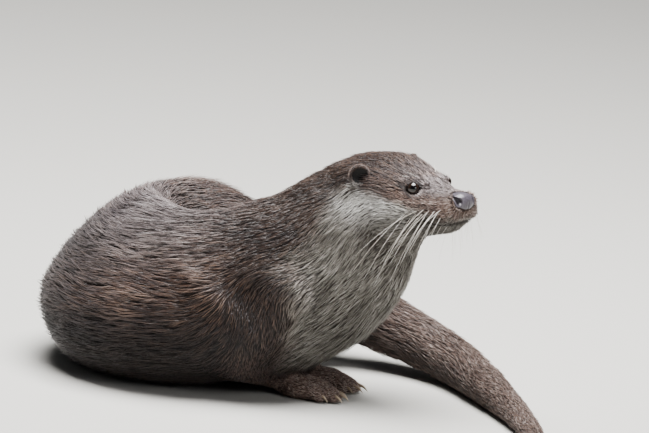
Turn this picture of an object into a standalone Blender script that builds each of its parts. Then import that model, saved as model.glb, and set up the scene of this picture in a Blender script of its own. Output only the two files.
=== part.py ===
"""River otter (Lutra lutra), life size, crouched with its body curled round to its own left.

The otter faces +X and +Z is up. From the head the spine runs back along the near side (-Y),
turns through half a circle at the loin, and comes forward again along the far side (+Y), so
that the tail leaves beside the chest and sweeps round over the floor. One smooth whole is
built from rings and balls, laid flat where it meets the floor, and parted with thin cuts.
"""
import math

import bmesh
import bpy
import numpy as np
from mathutils import Matrix, Vector

# ---------------------------------------------------------------- driving dimensions (mm)
MM = 0.001                   # the tables below are in millimetres
GAP = 0.3                    # width of the cuts between neighbouring pieces

# Head: a nose tip, the way the face points, and rings counted back from the nose tip.
NOSE_TIP = (179.0, -55.0, 198.0)
HEAD_YAW = 36.0              # degrees, turned to the otter's right
HEAD_PITCH = 5.0             # degrees, looking up
HEAD_RINGS = (               # back from nose, half width, up, down
    (1, 12, 5, 9), (4, 19, 7, 17), (8, 24, 8, 23), (14, 26.5, 7.5, 27.5), (22, 27.5, 8.5, 30),
    (31, 29, 12.5, 32), (41, 32, 19.5, 34.5), (52, 37, 27, 36), (66, 42.5, 34, 38),
    (80, 45.5, 36.5, 40), (95, 46, 36.5, 42), (110, 45, 35, 43), (122, 42, 32, 42))
EYE_PLACE = (42.3, 23.4, 9.9)        # back, out, up
EYE_RADIUS = 6.3
EAR_PLACE = (89.0, 38.5, 19.0)
EAR_SIZE = (4.4, 9.8, 10.6)          # half thickness, half width, half height
EAR_LEAN = -18.0                     # degrees, the top of the blade tipped outward
EAR_SWING = 38.0                     # degrees, the blade's face turned outward
EAR_BOWL_SIZE = (4.2, 7.4, 8.4)      # hollow in the ear's face
EAR_BOWL_SHIFT = (-5.2, 3.6, 2.5)    # from the ear's middle, back, out, up
NOSE_PLACE = (5.0, 0.0, -0.6)
NOSE_SIZE = (7.0, 12.8, 9.0)         # half depth, half width, half height
HEAD_SWELLS = (                      # back, out and up of the middle, then half sizes, on both sides
    ((15, 13, -10), (14, 13.5, 12)),       # whisker pad
    ((66, 22, -14), (34, 24, 24)),         # cheek
    ((45, 15, 13), (15, 9, 6.5)))          # brow
CHIN_PLACE = (21, 0, -21)
CHIN_SIZE = (13, 13, 9)

# Trunk: both limbs of the curl lie along X, joined by a half turn at the loin.
TURN_CENTRE = (-53.0, 70.0)
TURN_RADIUS = 69.0
TAIL_ROOT = (74.0, 140.0, 54.0)
TAIL_LENGTH = 430.0
TAIL_ROOT_RADIUS = 33.0
TAIL_TIP_RADIUS = 8.5
TAIL_WAY = (                 # where the tail passes, from its root to beyond its tip
    TAIL_ROOT, (100, 138, 46), (130, 127, 37), (161, 105, 30), (190, 68, 27),
    (214, 12, 24), (234, -48, 20), (251, -112, 16), (266, -176, 12), (280, -236, 10))

# Legs: a way of points from shoulder or hip to wrist or heel, with a radius at each.
FORE_RIGHT = ((22, -40, 96, 38), (-8, -50, 60, 28), (-15, -48, 41, 21), (8, -28, 25, 14.5), (27, -9, 17, 12))
FORE_LEFT = ((26, 42, 96, 36), (4, 46, 60, 28), (4, 46, 38, 21), (28, 34, 22, 15), (50, 23, 14, 12.5))
HIND_RIGHT = ((8, 172, 76, 38), (-26, 188, 54, 36), (-36, 198, 38, 27), (0, 208, 26, 19), (34, 208, 17, 14))
HIND_LEFT = ((24, 118, 62, 34), (-2, 104, 48, 28), (-6, 98, 36, 22), (24, 98, 24, 18), (48, 97, 16, 14))
# Paws: heel, heading, length to the toe tips, half width of the sole, toe radius, toe spread.
PAWS = {
    "forepaw_right": ((27, -9), -17.0, 60.0, 16.0, 5.0, 18.0),
    "forepaw_left": ((46, 25), -7.0, 55.0, 16.0, 5.0, 17.0),
    "hindpaw_right": ((42, 208), 172.0, 100.0, 21.0, 6.0, 15.0),
    "hindpaw_left": ((56, 97), 186.0, 88.0, 17.0, 5.4, 11.0)}
TOE_FAN = (-1.0, -0.48, 0.0, 0.48, 1.0)          # of the spread, either side of the heading
TOE_REACH = (0.84, 0.95, 1.0, 0.96, 0.80)        # of the paw's length, inner toe first
SOLE_HEIGHT = 9.0            # middle of the sole's pad above the floor
SOLE_DEPTH = 12.0            # half depth of that pad
HEEL_HEIGHT = 12.5
HEEL_SIZE = (15, 12, 12)
TOE_JOINTS = ((0.45, 11.0, 1.1), (0.80, 8.5, 1.0))   # share of the way, height, share of the toe radius
TOE_END = (4.4, 0.88)                                # height, share of the toe radius
CLAW_LENGTH = 8.5
CLAW_RADIUS = 2.0
CLAW_ROOT = (4.0, 5.6)       # behind the toe's tip, above the floor
CLAW_BEND = (0.55, 2.4, 3.4) # share of the length at the bend, drop per share squared, drop at the tip

# Fineness of the skin.
VOXEL_SOFT = 3.5             # grid on which the large masses are blended
VOXEL_FINE = 2.6             # grid on which head, paws and tail join them
HEAD_TRIANGLES = 6500        # whole animal, as used for the head
PAW_TRIANGLES = 3800         # whole animal, as used for the paws
BODY_TRIANGLES = 2000        # whole animal, as used for the rest

COAT_BROWN = (0.190, 0.130, 0.105)
THROAT_GREY = (0.300, 0.270, 0.245)
PAW_BROWN = (0.075, 0.058, 0.048)
NOSE_BLACK = (0.020, 0.018, 0.020)
EYE_BROWN = (0.012, 0.008, 0.006)
CLAW_HORN = (0.420, 0.360, 0.290)


# ---------------------------------------------------------------- curves and frames
def smooth_through(knots, values, at):
    """Cubic curve through the values at the knots, with slopes from the neighbours."""
    knots = np.asarray(knots, float)
    values = np.asarray(values, float)
    at = np.asarray(at, float)
    slopes = np.gradient(values, knots, axis=0)
    i = np.clip(np.searchsorted(knots, at, side="right") - 1, 0, len(knots) - 2)
    step = knots[i + 1] - knots[i]
    t = (at - knots[i]) / step
    if values.ndim > 1:
        t, step = t[:, None], step[:, None]
    start = values[i] * (2 * t**3 - 3 * t**2 + 1) + values[i + 1] * (3 * t**2 - 2 * t**3)
    return start + step * (slopes[i] * (t**3 - 2 * t**2 + t) + slopes[i + 1] * (t**3 - t**2))


def lengths_along(points):
    """Distance of each point from the first, measured along the line."""
    steps = np.linalg.norm(np.diff(np.asarray(points, float), axis=0), axis=1)
    return np.concatenate(([0.0], np.cumsum(steps)))


def frames_along(centres):
    """Heading, right-hand side and upward side of a line of points."""
    ahead = np.gradient(centres, axis=0)
    ahead /= np.linalg.norm(ahead, axis=1)[:, None]
    right = np.cross(ahead, (0.0, 0.0, 1.0))
    right /= np.linalg.norm(right, axis=1)[:, None]
    return ahead, right, np.cross(right, ahead)


def head_axes():
    """Forward, left and up of the face."""
    yaw, pitch = math.radians(HEAD_YAW), math.radians(HEAD_PITCH)
    forward = Vector((math.cos(yaw) * math.cos(pitch), -math.sin(yaw) * math.cos(pitch), math.sin(pitch)))
    left = Vector((math.sin(yaw), math.cos(yaw), 0.0))
    return forward, left, forward.cross(left)


def on_head(back, out, up):
    """World place of a point given behind the nose tip, to the left and above it."""
    forward, left, upward = head_axes()
    return Vector(NOSE_TIP) - forward * float(back) + left * float(out) + upward * float(up)


def head_turn():
    """Rotation that carries X, Y and Z onto forward, left and up of the face."""
    return Matrix(head_axes()).transposed().to_4x4()


# ---------------------------------------------------------------- meshes
def new_object(name, bm):
    """Object holding the mesh, in metres, in the scene."""
    bmesh.ops.recalc_face_normals(bm, faces=bm.faces)
    mesh = bpy.data.meshes.new(name)
    bm.to_mesh(mesh)
    bm.free()
    thing = bpy.data.objects.new(name, mesh)
    bpy.context.scene.collection.objects.link(thing)
    return thing


def add_ball(bm, centre, radii, turn=Matrix.Identity(4), segments=16, rings=10):
    """Ellipsoid, sizes in millimetres."""
    scale = Matrix.Diagonal((*[r * MM for r in radii], 1.0))
    place = Matrix.Translation(Vector(centre) * MM) @ turn @ scale
    bmesh.ops.create_uvsphere(bm, u_segments=segments, v_segments=rings, radius=1.0, matrix=place)


def add_limb(bm, way, around=14):
    """Round limb with round ends along a way of (x, y, z, radius) points."""
    way = np.asarray(way, float)
    knots = lengths_along(way[:, :3])
    count = max(5, int(2 * knots[-1] / way[:, 3].min()))
    run = smooth_through(knots, way, np.linspace(0.0, knots[-1], count))
    ahead = np.gradient(run[:, :3], axis=0)
    for i in range(count):
        turn = Vector(ahead[i]).to_track_quat("Z", "Y").to_matrix().to_4x4()
        if i in (0, count - 1):
            add_ball(bm, run[i, :3], (run[i, 3],) * 3, turn, around, 8)
        ring = [bm.verts.new((Vector(run[i, :3]) + turn @ Vector((
            run[i, 3] * math.cos(2 * math.pi * k / around),
            run[i, 3] * math.sin(2 * math.pi * k / around), 0))) * MM) for k in range(around)]
        if i:
            for k in range(around):
                bm.faces.new((last[k], last[(k + 1) % around], ring[(k + 1) % around], ring[k]))
        else:
            bm.faces.new(ring)
        last = ring
    bm.faces.new(last)


def add_rings(bm, centres, sections, around=30):
    """Closed tube of rings. A section is right, left, up, down, dome, lean (mm).

    The dome is the power of the upper curve: 2 is an ellipse, less is a narrower back. Lean
    carries the top of the ring to the left.
    """
    _, right, upward = frames_along(centres)
    rings = []
    for i, (to_right, to_left, up, down, dome, lean) in enumerate(sections):
        ring = []
        for k in range(around):
            angle = 2 * math.pi * k / around
            across, rise = math.cos(angle), math.sin(angle)
            power = 2.0 / (dome if rise > 0 else 2.15)
            side = math.copysign(abs(across) ** power, across) * (to_right if across > 0 else to_left)
            high = math.copysign(abs(rise) ** power, rise)
            side -= lean * max(high, 0.0)
            high *= up if rise > 0 else down
            point = centres[i] + side * right[i] + high * upward[i]
            ring.append(bm.verts.new(Vector(point) * MM))
        rings.append(ring)
    for one, two in zip(rings, rings[1:]):
        for k in range(around):
            bm.faces.new((one[k], one[(k + 1) % around], two[(k + 1) % around], two[k]))
    bm.faces.new(rings[0])
    bm.faces.new(rings[-1])


def add_box(bm, low, high, grow=0.0):
    """Box between two corners, each side moved out by grow."""
    low, high = Vector(low) - Vector((grow,) * 3), Vector(high) + Vector((grow,) * 3)
    size = Matrix.Diagonal((*[(b - a) * MM for a, b in zip(low, high)], 1.0))
    bmesh.ops.create_cube(bm, size=1.0, matrix=Matrix.Translation((low + high) * MM / 2) @ size)


def apply_modifiers(thing):
    """Replace the object's mesh by what its modifiers make of it."""
    graph = bpy.context.evaluated_depsgraph_get()
    made = bpy.data.meshes.new_from_object(thing.evaluated_get(graph))
    old = thing.data
    thing.modifiers.clear()
    thing.data = made
    bpy.data.meshes.remove(old)


def blend(thing, voxel, rounds, factor=0.5):
    """Fuse all that the object holds into one closed, softened skin."""
    fuse = thing.modifiers.new("Fuse", "REMESH")
    fuse.mode = "VOXEL"
    fuse.voxel_size = voxel * MM
    soften = thing.modifiers.new("Soften", "SMOOTH")
    soften.factor = factor
    soften.iterations = rounds
    apply_modifiers(thing)


def thinned(source, name, triangles):
    """Copy of the object with about the given number of triangles."""
    copy = bpy.data.objects.new(name, source.data.copy())
    bpy.context.scene.collection.objects.link(copy)
    present = sum(len(p.vertices) - 2 for p in copy.data.polygons)
    thin = copy.modifiers.new("Thin", "DECIMATE")
    thin.ratio = triangles / present
    apply_modifiers(copy)
    return copy


def combine(target, tool, operation):
    """Exact Boolean of the target with the tool."""
    step = target.modifiers.new("Combine", "BOOLEAN")
    step.solver = "EXACT"
    step.operation = operation
    step.object = tool
    apply_modifiers(target)


def discard(*things):
    """Remove helpers."""
    for thing in things:
        bpy.data.objects.remove(thing)


def keep_largest(thing):
    """Drop crumbs that a cut leaves beside the piece."""
    bm = bmesh.new()
    bm.from_mesh(thing.data)
    bmesh.ops.remove_doubles(bm, verts=bm.verts, dist=0.00002)
    left, islands = set(bm.verts), []
    while left:
        stack, island = [left.pop()], set()
        while stack:
            vert = stack.pop()
            island.add(vert)
            for edge in vert.link_edges:
                other = edge.other_vert(vert)
                if other in left:
                    left.discard(other)
                    stack.append(other)
        islands.append(island)
    islands.sort(key=len)
    crumbs = [vert for island in islands[:-1] for vert in island]
    bmesh.ops.delete(bm, geom=crumbs, context="VERTS")
    bm.to_mesh(thing.data)
    bm.free()


# ---------------------------------------------------------------- the whole animal
def trunk_stations():
    """Rows of x, y, z, right, left, up, down, dome, lean from the tail root to the neck."""
    cx, cy = TURN_CENTRE
    far = cy + TURN_RADIUS + 1
    rows = [
        (*TAIL_ROOT, 37, 37, 36, 38, 2.0, 0),
        (44, far, 59, 52, 50, 50, 57, 1.9, 0),
        (12, far, 64, 66, 63, 63, 66, 1.85, 0),
        (-20, far, 67, 73, 69, 78, 70, 1.8, 2)]
    for degrees in (90, 125, 160, 200, 235, 270):
        turn = math.radians(degrees)
        deep = abs(math.cos(turn))           # 0 where the limbs are straight, 1 mid-turn
        lift = max(-math.sin(turn), 0.0)     # 1 where the belly is carried by the forelegs
        rows.append((
            cx + TURN_RADIUS * math.cos(turn), cy + TURN_RADIUS * math.sin(turn), 68 - 4 * deep,
            75 - 2 * lift, 70, 92 + 6 * deep, 72 - 7 * lift, 1.75 - 0.25 * deep, 2 + 15 * deep))
    rows += [
        (-18, 0, 78, 70, 69, 88, 70, 1.85, 0),
        (16, 2, 93, 65, 64, 84, 76, 1.95, 0),
        (52, 4, 116, 60, 59, 80, 76, 2.0, 0),
        (80, 5, 148, 53, 53, 68, 68, 2.0, 0),
        (98, 3, 170, 48, 48, 59, 56, 2.0, 0),
        (112, -3, 184, 44, 44, 50, 48, 2.0, 0)]
    return np.array(rows, float)


def add_trunk(bm):
    """Neck and trunk as one tube."""
    rows = trunk_stations()
    knots = lengths_along(rows[:, :3])
    table = smooth_through(knots, rows, np.linspace(0.0, knots[-1], 70))
    add_rings(bm, table[:, :3], table[:, 3:])


def tail_line():
    """Even points along the tail with the radius at each, root first."""
    knots = lengths_along(TAIL_WAY)
    run = np.linspace(0.0, TAIL_LENGTH, 56)
    centres = smooth_through(knots, TAIL_WAY, run)
    share = run / TAIL_LENGTH
    radii = TAIL_TIP_RADIUS + (TAIL_ROOT_RADIUS - TAIL_TIP_RADIUS) * (1.0 - share)**1.3
    radii *= np.sqrt(1.0 - 0.8 * share**12)
    resting = radii * 0.9 - 1.5              # height at which the underside meets the floor
    laid = np.clip((share - 0.10) / 0.32, 0.0, 1.0)
    laid = laid * laid * (3.0 - 2.0 * laid)
    centres[:, 2] += laid * (resting - centres[:, 2])
    return centres, radii


def add_tail(bm):
    """Tail, a little wider than deep, from root to tip."""
    centres, radii = tail_line()
    flat = np.ones_like(radii)
    sections = np.stack([radii, radii, radii * 0.9, radii * 0.9, 2 * flat, 0 * flat], axis=1)
    add_rings(bm, centres[::-1], sections[::-1], around=22)


def add_head(bm):
    """Skull and muzzle as rings, with pads, cheeks, brows and chin."""
    rings = np.array(HEAD_RINGS, float)
    run = np.linspace(rings[0, 0], rings[-1, 0], 36)
    back, wide, up, down = smooth_through(rings[:, 0], rings, run).T
    centres = np.array([on_head(b, 0, 0) for b in back])
    flat = np.ones_like(back)
    sections = np.stack([wide, wide, up, down, 2.1 * flat, 0 * flat], axis=1)
    add_rings(bm, centres[::-1], sections[::-1], around=28)
    turn = head_turn()
    for (back, out, up), size in HEAD_SWELLS:
        for side in (-1, 1):
            add_ball(bm, on_head(back, side * out, up), size, turn)
    add_ball(bm, on_head(*CHIN_PLACE), CHIN_SIZE, turn)


def paw_frame(name):
    """Heel, heading, length, half width and toe radius of a paw, with its toe tips."""
    (x, y), heading, length, half, toe, spread = PAWS[name]
    mirrored = -1 if name.endswith("left") else 1
    tips = []
    for fan, reach in zip(TOE_FAN, TOE_REACH):
        angle = math.radians(heading - mirrored * fan * spread)
        tips.append(Vector((x + length * reach * math.cos(angle), y + length * reach * math.sin(angle), 0)))
    return Vector((x, y, 0)), math.radians(heading), length, half, toe, tips


def add_paw(bm, name):
    """Flat sole with five toes, spread and slightly arched."""
    heel, heading, length, half, toe, tips = paw_frame(name)
    ahead = Vector((math.cos(heading), math.sin(heading), 0))
    turn = Matrix.Rotation(heading, 4, "Z")
    sole = heel + ahead * length * 0.36
    add_ball(bm, sole + Vector((0, 0, SOLE_HEIGHT)), (length * 0.40, half, SOLE_DEPTH), turn)
    add_ball(bm, heel + ahead * 5 + Vector((0, 0, HEEL_HEIGHT)), HEEL_SIZE, turn)
    for tip in tips:
        way = [(*heel.lerp(tip, share).xy, height, toe * size) for share, height, size in TOE_JOINTS]
        end = heel.lerp(tip, 1.0 - toe / (tip - heel).length)
        height, size = TOE_END
        add_limb(bm, (*way, (*end.xy, height, toe * size)), 10)


def build_whole():
    """One skin for the whole animal, its soft masses blended, its face and toes kept."""
    bm = bmesh.new()
    add_trunk(bm)
    add_tail(bm)
    add_head(bm)
    for way in (FORE_RIGHT, FORE_LEFT, HIND_RIGHT, HIND_LEFT):
        add_limb(bm, way)
    soft = new_object("soft", bm)
    blend(soft, VOXEL_SOFT, 14)
    bm = bmesh.new()
    for name in PAWS:
        add_paw(bm, name)
    add_head(bm)
    add_tail(bm)
    bm.from_mesh(soft.data)
    whole = new_object("whole", bm)
    discard(soft)
    blend(whole, VOXEL_FINE, 3)
    return whole


# ---------------------------------------------------------------- parting into pieces
def plane_box(point, normal, length, half):
    """Box that starts on a plane and runs along its normal; returns a maker of it."""
    normal = Vector(normal).normalized()
    turn = normal.to_track_quat("Z", "Y").to_matrix().to_4x4()

    def make(bm, grow):
        size = Matrix.Diagonal(((2 * (half + grow)) * MM, (2 * (half + grow)) * MM, (length + 2 * grow) * MM, 1))
        middle = Vector(point) + normal * length / 2
        bmesh.ops.create_cube(bm, size=1.0, matrix=Matrix.Translation(middle * MM) @ turn @ size)
    return make


def level_box(low, high):
    """Upright box between two corners; returns a maker of it."""
    return lambda bm, grow: add_box(bm, low, high, grow)


def ball_region(centre, radii, turn_z=0.0):
    """Ellipsoid round a limb; returns a maker of it."""
    turn = Matrix.Rotation(math.radians(turn_z), 4, "Z")
    return lambda bm, grow: add_ball(bm, centre, [r + grow for r in radii], turn, 14, 7)


def paw_region(name):
    """Box round a paw, cut across its heel."""
    heel, heading, length, half, toe, tips = paw_frame(name)
    ahead = Vector((math.cos(heading), math.sin(heading), 0))
    aside = Vector((-ahead.y, ahead.x, 0))
    turn = Matrix.Rotation(heading, 4, "Z")
    reach, high = length + 10, 25
    wide = max(half, *[abs((tip - heel).dot(aside)) + toe for tip in tips]) + 3

    def make(bm, grow):
        size = Matrix.Diagonal(((reach + 2 * grow) * MM, 2 * (wide + grow) * MM, (high + 2 * grow) * MM, 1))
        middle = heel - ahead * 2 + ahead * reach / 2 + Vector((0, 0, high / 2 - 3))
        bmesh.ops.create_cube(bm, size=1.0, matrix=Matrix.Translation(middle * MM) @ turn @ size)
    return make


def region_object(make, grow):
    bm = bmesh.new()
    make(bm, grow)
    return new_object("region", bm)


def tail_cut(share):
    """Point and heading of the tail at a share of its length."""
    centres, _ = tail_line()
    i = int(share * (len(centres) - 1))
    return centres[i], centres[i + 1] - centres[i]


def regions():
    """Regions of the pieces, in the order in which they are taken off, for each fineness."""
    cx, cy = TURN_CENTRE
    wall = cy + 1.0                          # where the two limbs of the curl meet
    forward = head_axes()[0]
    first, second = tail_cut(0.32), tail_cut(0.66)
    head = [("head", plane_box(on_head(108, 0, 0), forward + Vector((0, 0, 0.2)), 150, 80))]
    paws = [(name, paw_region(name)) for name in PAWS]
    body = [
        ("foreleg_right", ball_region((0, -62, 44), (42, 30, 52))),
        ("foreleg_left", ball_region((18, 58, 36), (40, 26, 44))),
        ("hindleg_right", ball_region((-8, 202, 42), (58, 32, 54))),
        ("hindleg_left", ball_region((26, 96, 30), (46, 22, 34))),
        ("neck", plane_box((46, 4, 112), (0.72, 0, 0.70), 110, 100)),
        ("tail_tip", plane_box(*second, 220, 45)),
        ("tail_middle", plane_box(*first, 200, 60)),
        ("tail_base", level_box((70, wall + 20, -20), (260, 320, 240))),
        ("trunk_chest", level_box((-20, -120, -20), (180, wall, 240))),
        ("trunk_waist", level_box((cx, -120, -20), (-20, wall, 240))),
        ("trunk_loin_front", level_box((-260, -120, -20), (cx, wall, 240))),
        ("trunk_loin_rear", level_box((-260, wall, -20), (cx, 320, 240))),
        ("trunk_rump", level_box((cx, wall, -20), (180, 320, 240)))]
    return head, paws, body


def part_out(sources):
    """Cut the animal into its pieces, each from the copy with its fineness."""
    pieces = {}
    for level, stage in enumerate(regions()):
        for name, make in stage:
            piece = bpy.data.objects.new(name, sources[level].data.copy())
            bpy.context.scene.collection.objects.link(piece)
            tight, loose = region_object(make, -GAP / 2), region_object(make, GAP / 2)
            combine(piece, tight, "INTERSECT")
            keep_largest(piece)
            for source in sources[level:]:
                combine(source, loose, "DIFFERENCE")
            discard(tight, loose)
            pieces[name] = piece
    discard(*sources)
    return pieces


# ---------------------------------------------------------------- small pieces
def add_eye(bm, side, grow=0.0):
    back, out, up = EYE_PLACE
    add_ball(bm, on_head(back, side * out, up), (EYE_RADIUS + grow,) * 3, head_turn(), 12, 8)


def ear_turn(side):
    """Ear blade: its thin axis looks forward and outward."""
    lean = Matrix.Rotation(math.radians(EAR_LEAN * side), 4, "X")
    swing = Matrix.Rotation(math.radians(EAR_SWING * side), 4, "Z")
    return head_turn() @ swing @ lean


def add_ear(bm, side, grow=0.0):
    back, out, up = EAR_PLACE
    add_ball(bm, on_head(back, side * out, up), [r + grow for r in EAR_SIZE], ear_turn(side), 12, 8)


def add_ear_bowl(bm, side):
    """Hollow of the ear's face."""
    back, out, up = (a + b for a, b in zip(EAR_PLACE, EAR_BOWL_SHIFT))
    add_ball(bm, on_head(back, side * out, up), EAR_BOWL_SIZE, ear_turn(side), 10, 6)


def add_nose(bm, grow=0.0):
    add_ball(bm, on_head(*NOSE_PLACE), [r + grow for r in NOSE_SIZE], head_turn(), 12, 8)


def add_claw(bm, tip, heading, grow=0.0):
    """Short horn cone that curves down from a toe's tip."""
    ahead = Vector((math.cos(heading), math.sin(heading), 0))
    behind, height = CLAW_ROOT
    bend, droop, tip_drop = CLAW_BEND
    root = Vector(tip) - ahead * behind + Vector((0, 0, height))
    rings = []
    for share in (0.0, bend):
        centre = root + ahead * CLAW_LENGTH * share + Vector((0, 0, -droop * share**2))
        radius = CLAW_RADIUS * (1 - 0.62 * share) + grow
        ring = []
        for k in range(6):
            angle = 2 * math.pi * k / 6
            side = Vector((-ahead.y, ahead.x, 0)) * math.cos(angle) * radius * 0.8
            ring.append(bm.verts.new((centre + side + Vector((0, 0, math.sin(angle) * radius))) * MM))
        rings.append(ring)
    if grow:
        for vert in rings[0]:
            vert.co -= ahead * grow * MM
    point = bm.verts.new((root + ahead * (CLAW_LENGTH + 2 * grow) - Vector((0, 0, tip_drop))) * MM)
    for k in range(6):
        follow = (k + 1) % 6
        bm.faces.new((rings[0][k], rings[0][follow], rings[1][follow], rings[1][k]))
        bm.faces.new((rings[1][k], rings[1][follow], point))
    bm.faces.new(rings[0])


def claw_places(paw):
    """Tip and heading of each claw of a paw."""
    heel, _, _, _, _, tips = paw_frame(paw)
    return [(tip, math.atan2(tip.y - heel.y, tip.x - heel.x)) for tip in tips]


def made(name, add, *values):
    bm = bmesh.new()
    add(bm, *values)
    return new_object(name, bm)


def add_small_pieces(pieces):
    """Eyes, ears, nose and claws, each in a pocket of the flesh that carries it."""
    for side, word in ((1, "left"), (-1, "right")):
        for kind, add in (("eye", add_eye), ("ear", add_ear)):
            pieces[f"{kind}_{word}"] = made(f"{kind}_{word}", add, side)
            pocket = made("pocket", add, side, GAP)
            combine(pieces["head"], pocket, "DIFFERENCE")
            discard(pocket)
        bowl = made("bowl", add_ear_bowl, side)
        combine(pieces[f"ear_{word}"], bowl, "DIFFERENCE")
        discard(bowl)
    pieces["nose"] = made("nose", add_nose)
    pocket = made("pocket", add_nose, GAP)
    combine(pieces["head"], pocket, "DIFFERENCE")
    discard(pocket)
    for paw in PAWS:
        pockets = bmesh.new()
        for number, (tip, heading) in enumerate(claw_places(paw), start=1):
            name = f"claw_{paw.replace('paw', '')}_{number}"
            pieces[name] = made(name, add_claw, tip, heading)
            add_claw(pockets, tip, heading, GAP)
        pockets = new_object("pockets", pockets)
        combine(pieces[paw], pockets, "DIFFERENCE")
        discard(pockets)


# ---------------------------------------------------------------- finish
def material(name, colour, roughness):
    """Principled material with one colour."""
    surface = bpy.data.materials.new(name)
    surface.use_nodes = True
    shader = surface.node_tree.nodes["Principled BSDF"]
    shader.inputs["Base Color"].default_value = (*colour, 1.0)
    shader.inputs["Roughness"].default_value = roughness
    shader.inputs["Metallic"].default_value = 0.0
    return surface


def material_of(name, made_materials):
    """Each piece's material from its name."""
    for start, surface in made_materials.items():
        if name.startswith(start):
            return surface
    return made_materials[""]


def main():
    for thing in list(bpy.data.objects):
        bpy.data.objects.remove(thing)
    whole = build_whole()
    floor = region_object(level_box((-400, -400, -60), (400, 500, 0)), 0.0)
    sources = [thinned(whole, "copy", count) for count in (HEAD_TRIANGLES, PAW_TRIANGLES, BODY_TRIANGLES)]
    for source in sources:
        combine(source, floor, "DIFFERENCE")
    discard(whole, floor)
    pieces = part_out(sources)
    add_small_pieces(pieces)

    corners = np.array([v.co for thing in pieces.values() for v in thing.data.vertices])
    centre = (corners.min(axis=0) + corners.max(axis=0)) / 2
    paw_fur = material("paw_fur", PAW_BROWN, 0.7)
    surfaces = {
        "eye": material("eye", EYE_BROWN, 0.08),
        "nose": material("nose_pad", NOSE_BLACK, 0.35),
        "claw": material("claw_horn", CLAW_HORN, 0.4),
        "forepaw": paw_fur,
        "hindpaw": paw_fur,
        "neck": material("throat_fur", THROAT_GREY, 0.75),
        "": material("coat_fur", COAT_BROWN, 0.75)}
    for name, thing in pieces.items():
        thing.name = name
        thing.data.transform(Matrix.Translation((-centre[0], -centre[1], 0.0)))
        thing.data.materials.clear()
        thing.data.materials.append(material_of(name, surfaces))
        thing.data.shade_smooth()
        thing.data.set_sharp_from_angle(angle=math.radians(50))


main()
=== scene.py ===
import math

import bmesh
import bpy
import numpy as np
from mathutils import Matrix, Vector
from mathutils.bvhtree import BVHTree


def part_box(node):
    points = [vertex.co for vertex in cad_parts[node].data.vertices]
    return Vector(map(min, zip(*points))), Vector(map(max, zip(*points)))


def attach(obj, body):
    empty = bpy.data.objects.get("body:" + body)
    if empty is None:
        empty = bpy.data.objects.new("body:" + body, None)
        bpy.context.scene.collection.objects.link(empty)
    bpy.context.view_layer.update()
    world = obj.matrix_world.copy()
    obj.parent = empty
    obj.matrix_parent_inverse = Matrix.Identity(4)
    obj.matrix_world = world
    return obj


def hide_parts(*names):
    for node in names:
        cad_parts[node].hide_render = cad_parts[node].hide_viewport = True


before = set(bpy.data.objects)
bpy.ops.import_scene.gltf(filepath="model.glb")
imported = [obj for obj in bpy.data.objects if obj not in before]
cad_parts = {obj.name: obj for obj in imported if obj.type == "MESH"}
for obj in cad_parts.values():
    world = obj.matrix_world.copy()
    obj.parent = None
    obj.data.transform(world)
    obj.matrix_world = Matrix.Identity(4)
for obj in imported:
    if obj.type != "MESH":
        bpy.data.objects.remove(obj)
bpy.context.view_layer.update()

MM = 0.001
CHANCE = np.random.default_rng(7)

TRUNK = ("trunk_chest", "trunk_waist", "trunk_loin_front", "trunk_loin_rear", "trunk_rump")
TAIL = ("tail_base", "tail_middle", "tail_tip")
LEGS = ("foreleg_right", "foreleg_left", "hindleg_right", "hindleg_left")
PAWS = ("forepaw_right", "forepaw_left", "hindpaw_right", "hindpaw_left")
FLESH = ("head", "neck") + TRUNK + TAIL + LEGS + PAWS

SKIN_VOXEL = 1.5        # grain of the joined skin, in millimetres
SKIN_FACES = 125000     # triangles kept of it before the face is refined
CUT_CLOSER = 0.35       # how far the flesh swells so that its cuts close
EAR_VOXEL = 0.8         # grain of the ears' skin, in millimetres
COAT_LAYERS = 1.9       # how many locks lie over each other on the body
EAR_LAYERS = 5.0        # and on the ears
LEG_SHARE = 0.45        # share of those locks that the legs and paws need
LOCK_TRIANGLES = 6
MOST_LOCKS = 32500      # locks in one piece of the coat
PATCH = 0.003           # width of a lock on the bake map
FLOOR_GAP = 0.2         # how far the lowest locks stay off the floor, in millimetres
SIDES = {1: "left", -1: "right"}


# ---------------------------------------------------------------- places read from the frame

def points_of(node):
    """The corners of a node's solid, one row each."""
    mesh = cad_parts[node].data
    spots = np.empty(len(mesh.vertices) * 3)
    mesh.vertices.foreach_get("co", spots)
    return spots.reshape(-1, 3)


def corners(node):
    """The low and high corner of a node's box."""
    low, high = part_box(node)
    return np.array(low), np.array(high)


def middle(node):
    low, high = corners(node)
    return (low + high) / 2


def inside(node, x, y, z):
    """The place at these shares of a node's box."""
    low, high = corners(node)
    return low + (high - low) * np.array((x, y, z))


def slices(node, axis, count, onward=True):
    """Centres of equal slices of a node along one axis."""
    spots = points_of(node)
    along = spots[:, axis]
    cuts = np.linspace(along.min(), along.max(), count + 1)
    centres = [spots[(along >= a) & (along <= b)].mean(axis=0) for a, b in zip(cuts[:-1], cuts[1:])]
    return centres if onward else centres[::-1]


def unit(rows):
    """Each row at length 1."""
    rows = np.asarray(rows, float)
    return rows / np.maximum(np.linalg.norm(rows, axis=-1, keepdims=True), 1e-12)


def smoothstep(low, high, values):
    """0 before low, 1 past high, with soft ends; low may be the larger."""
    share = np.clip((values - low) / (high - low), 0, 1)
    return share * share * (3 - 2 * share)


def bump_at(distance, width):
    """A soft hill, 1 at no distance."""
    return np.exp(-(distance / width) ** 2)


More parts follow.
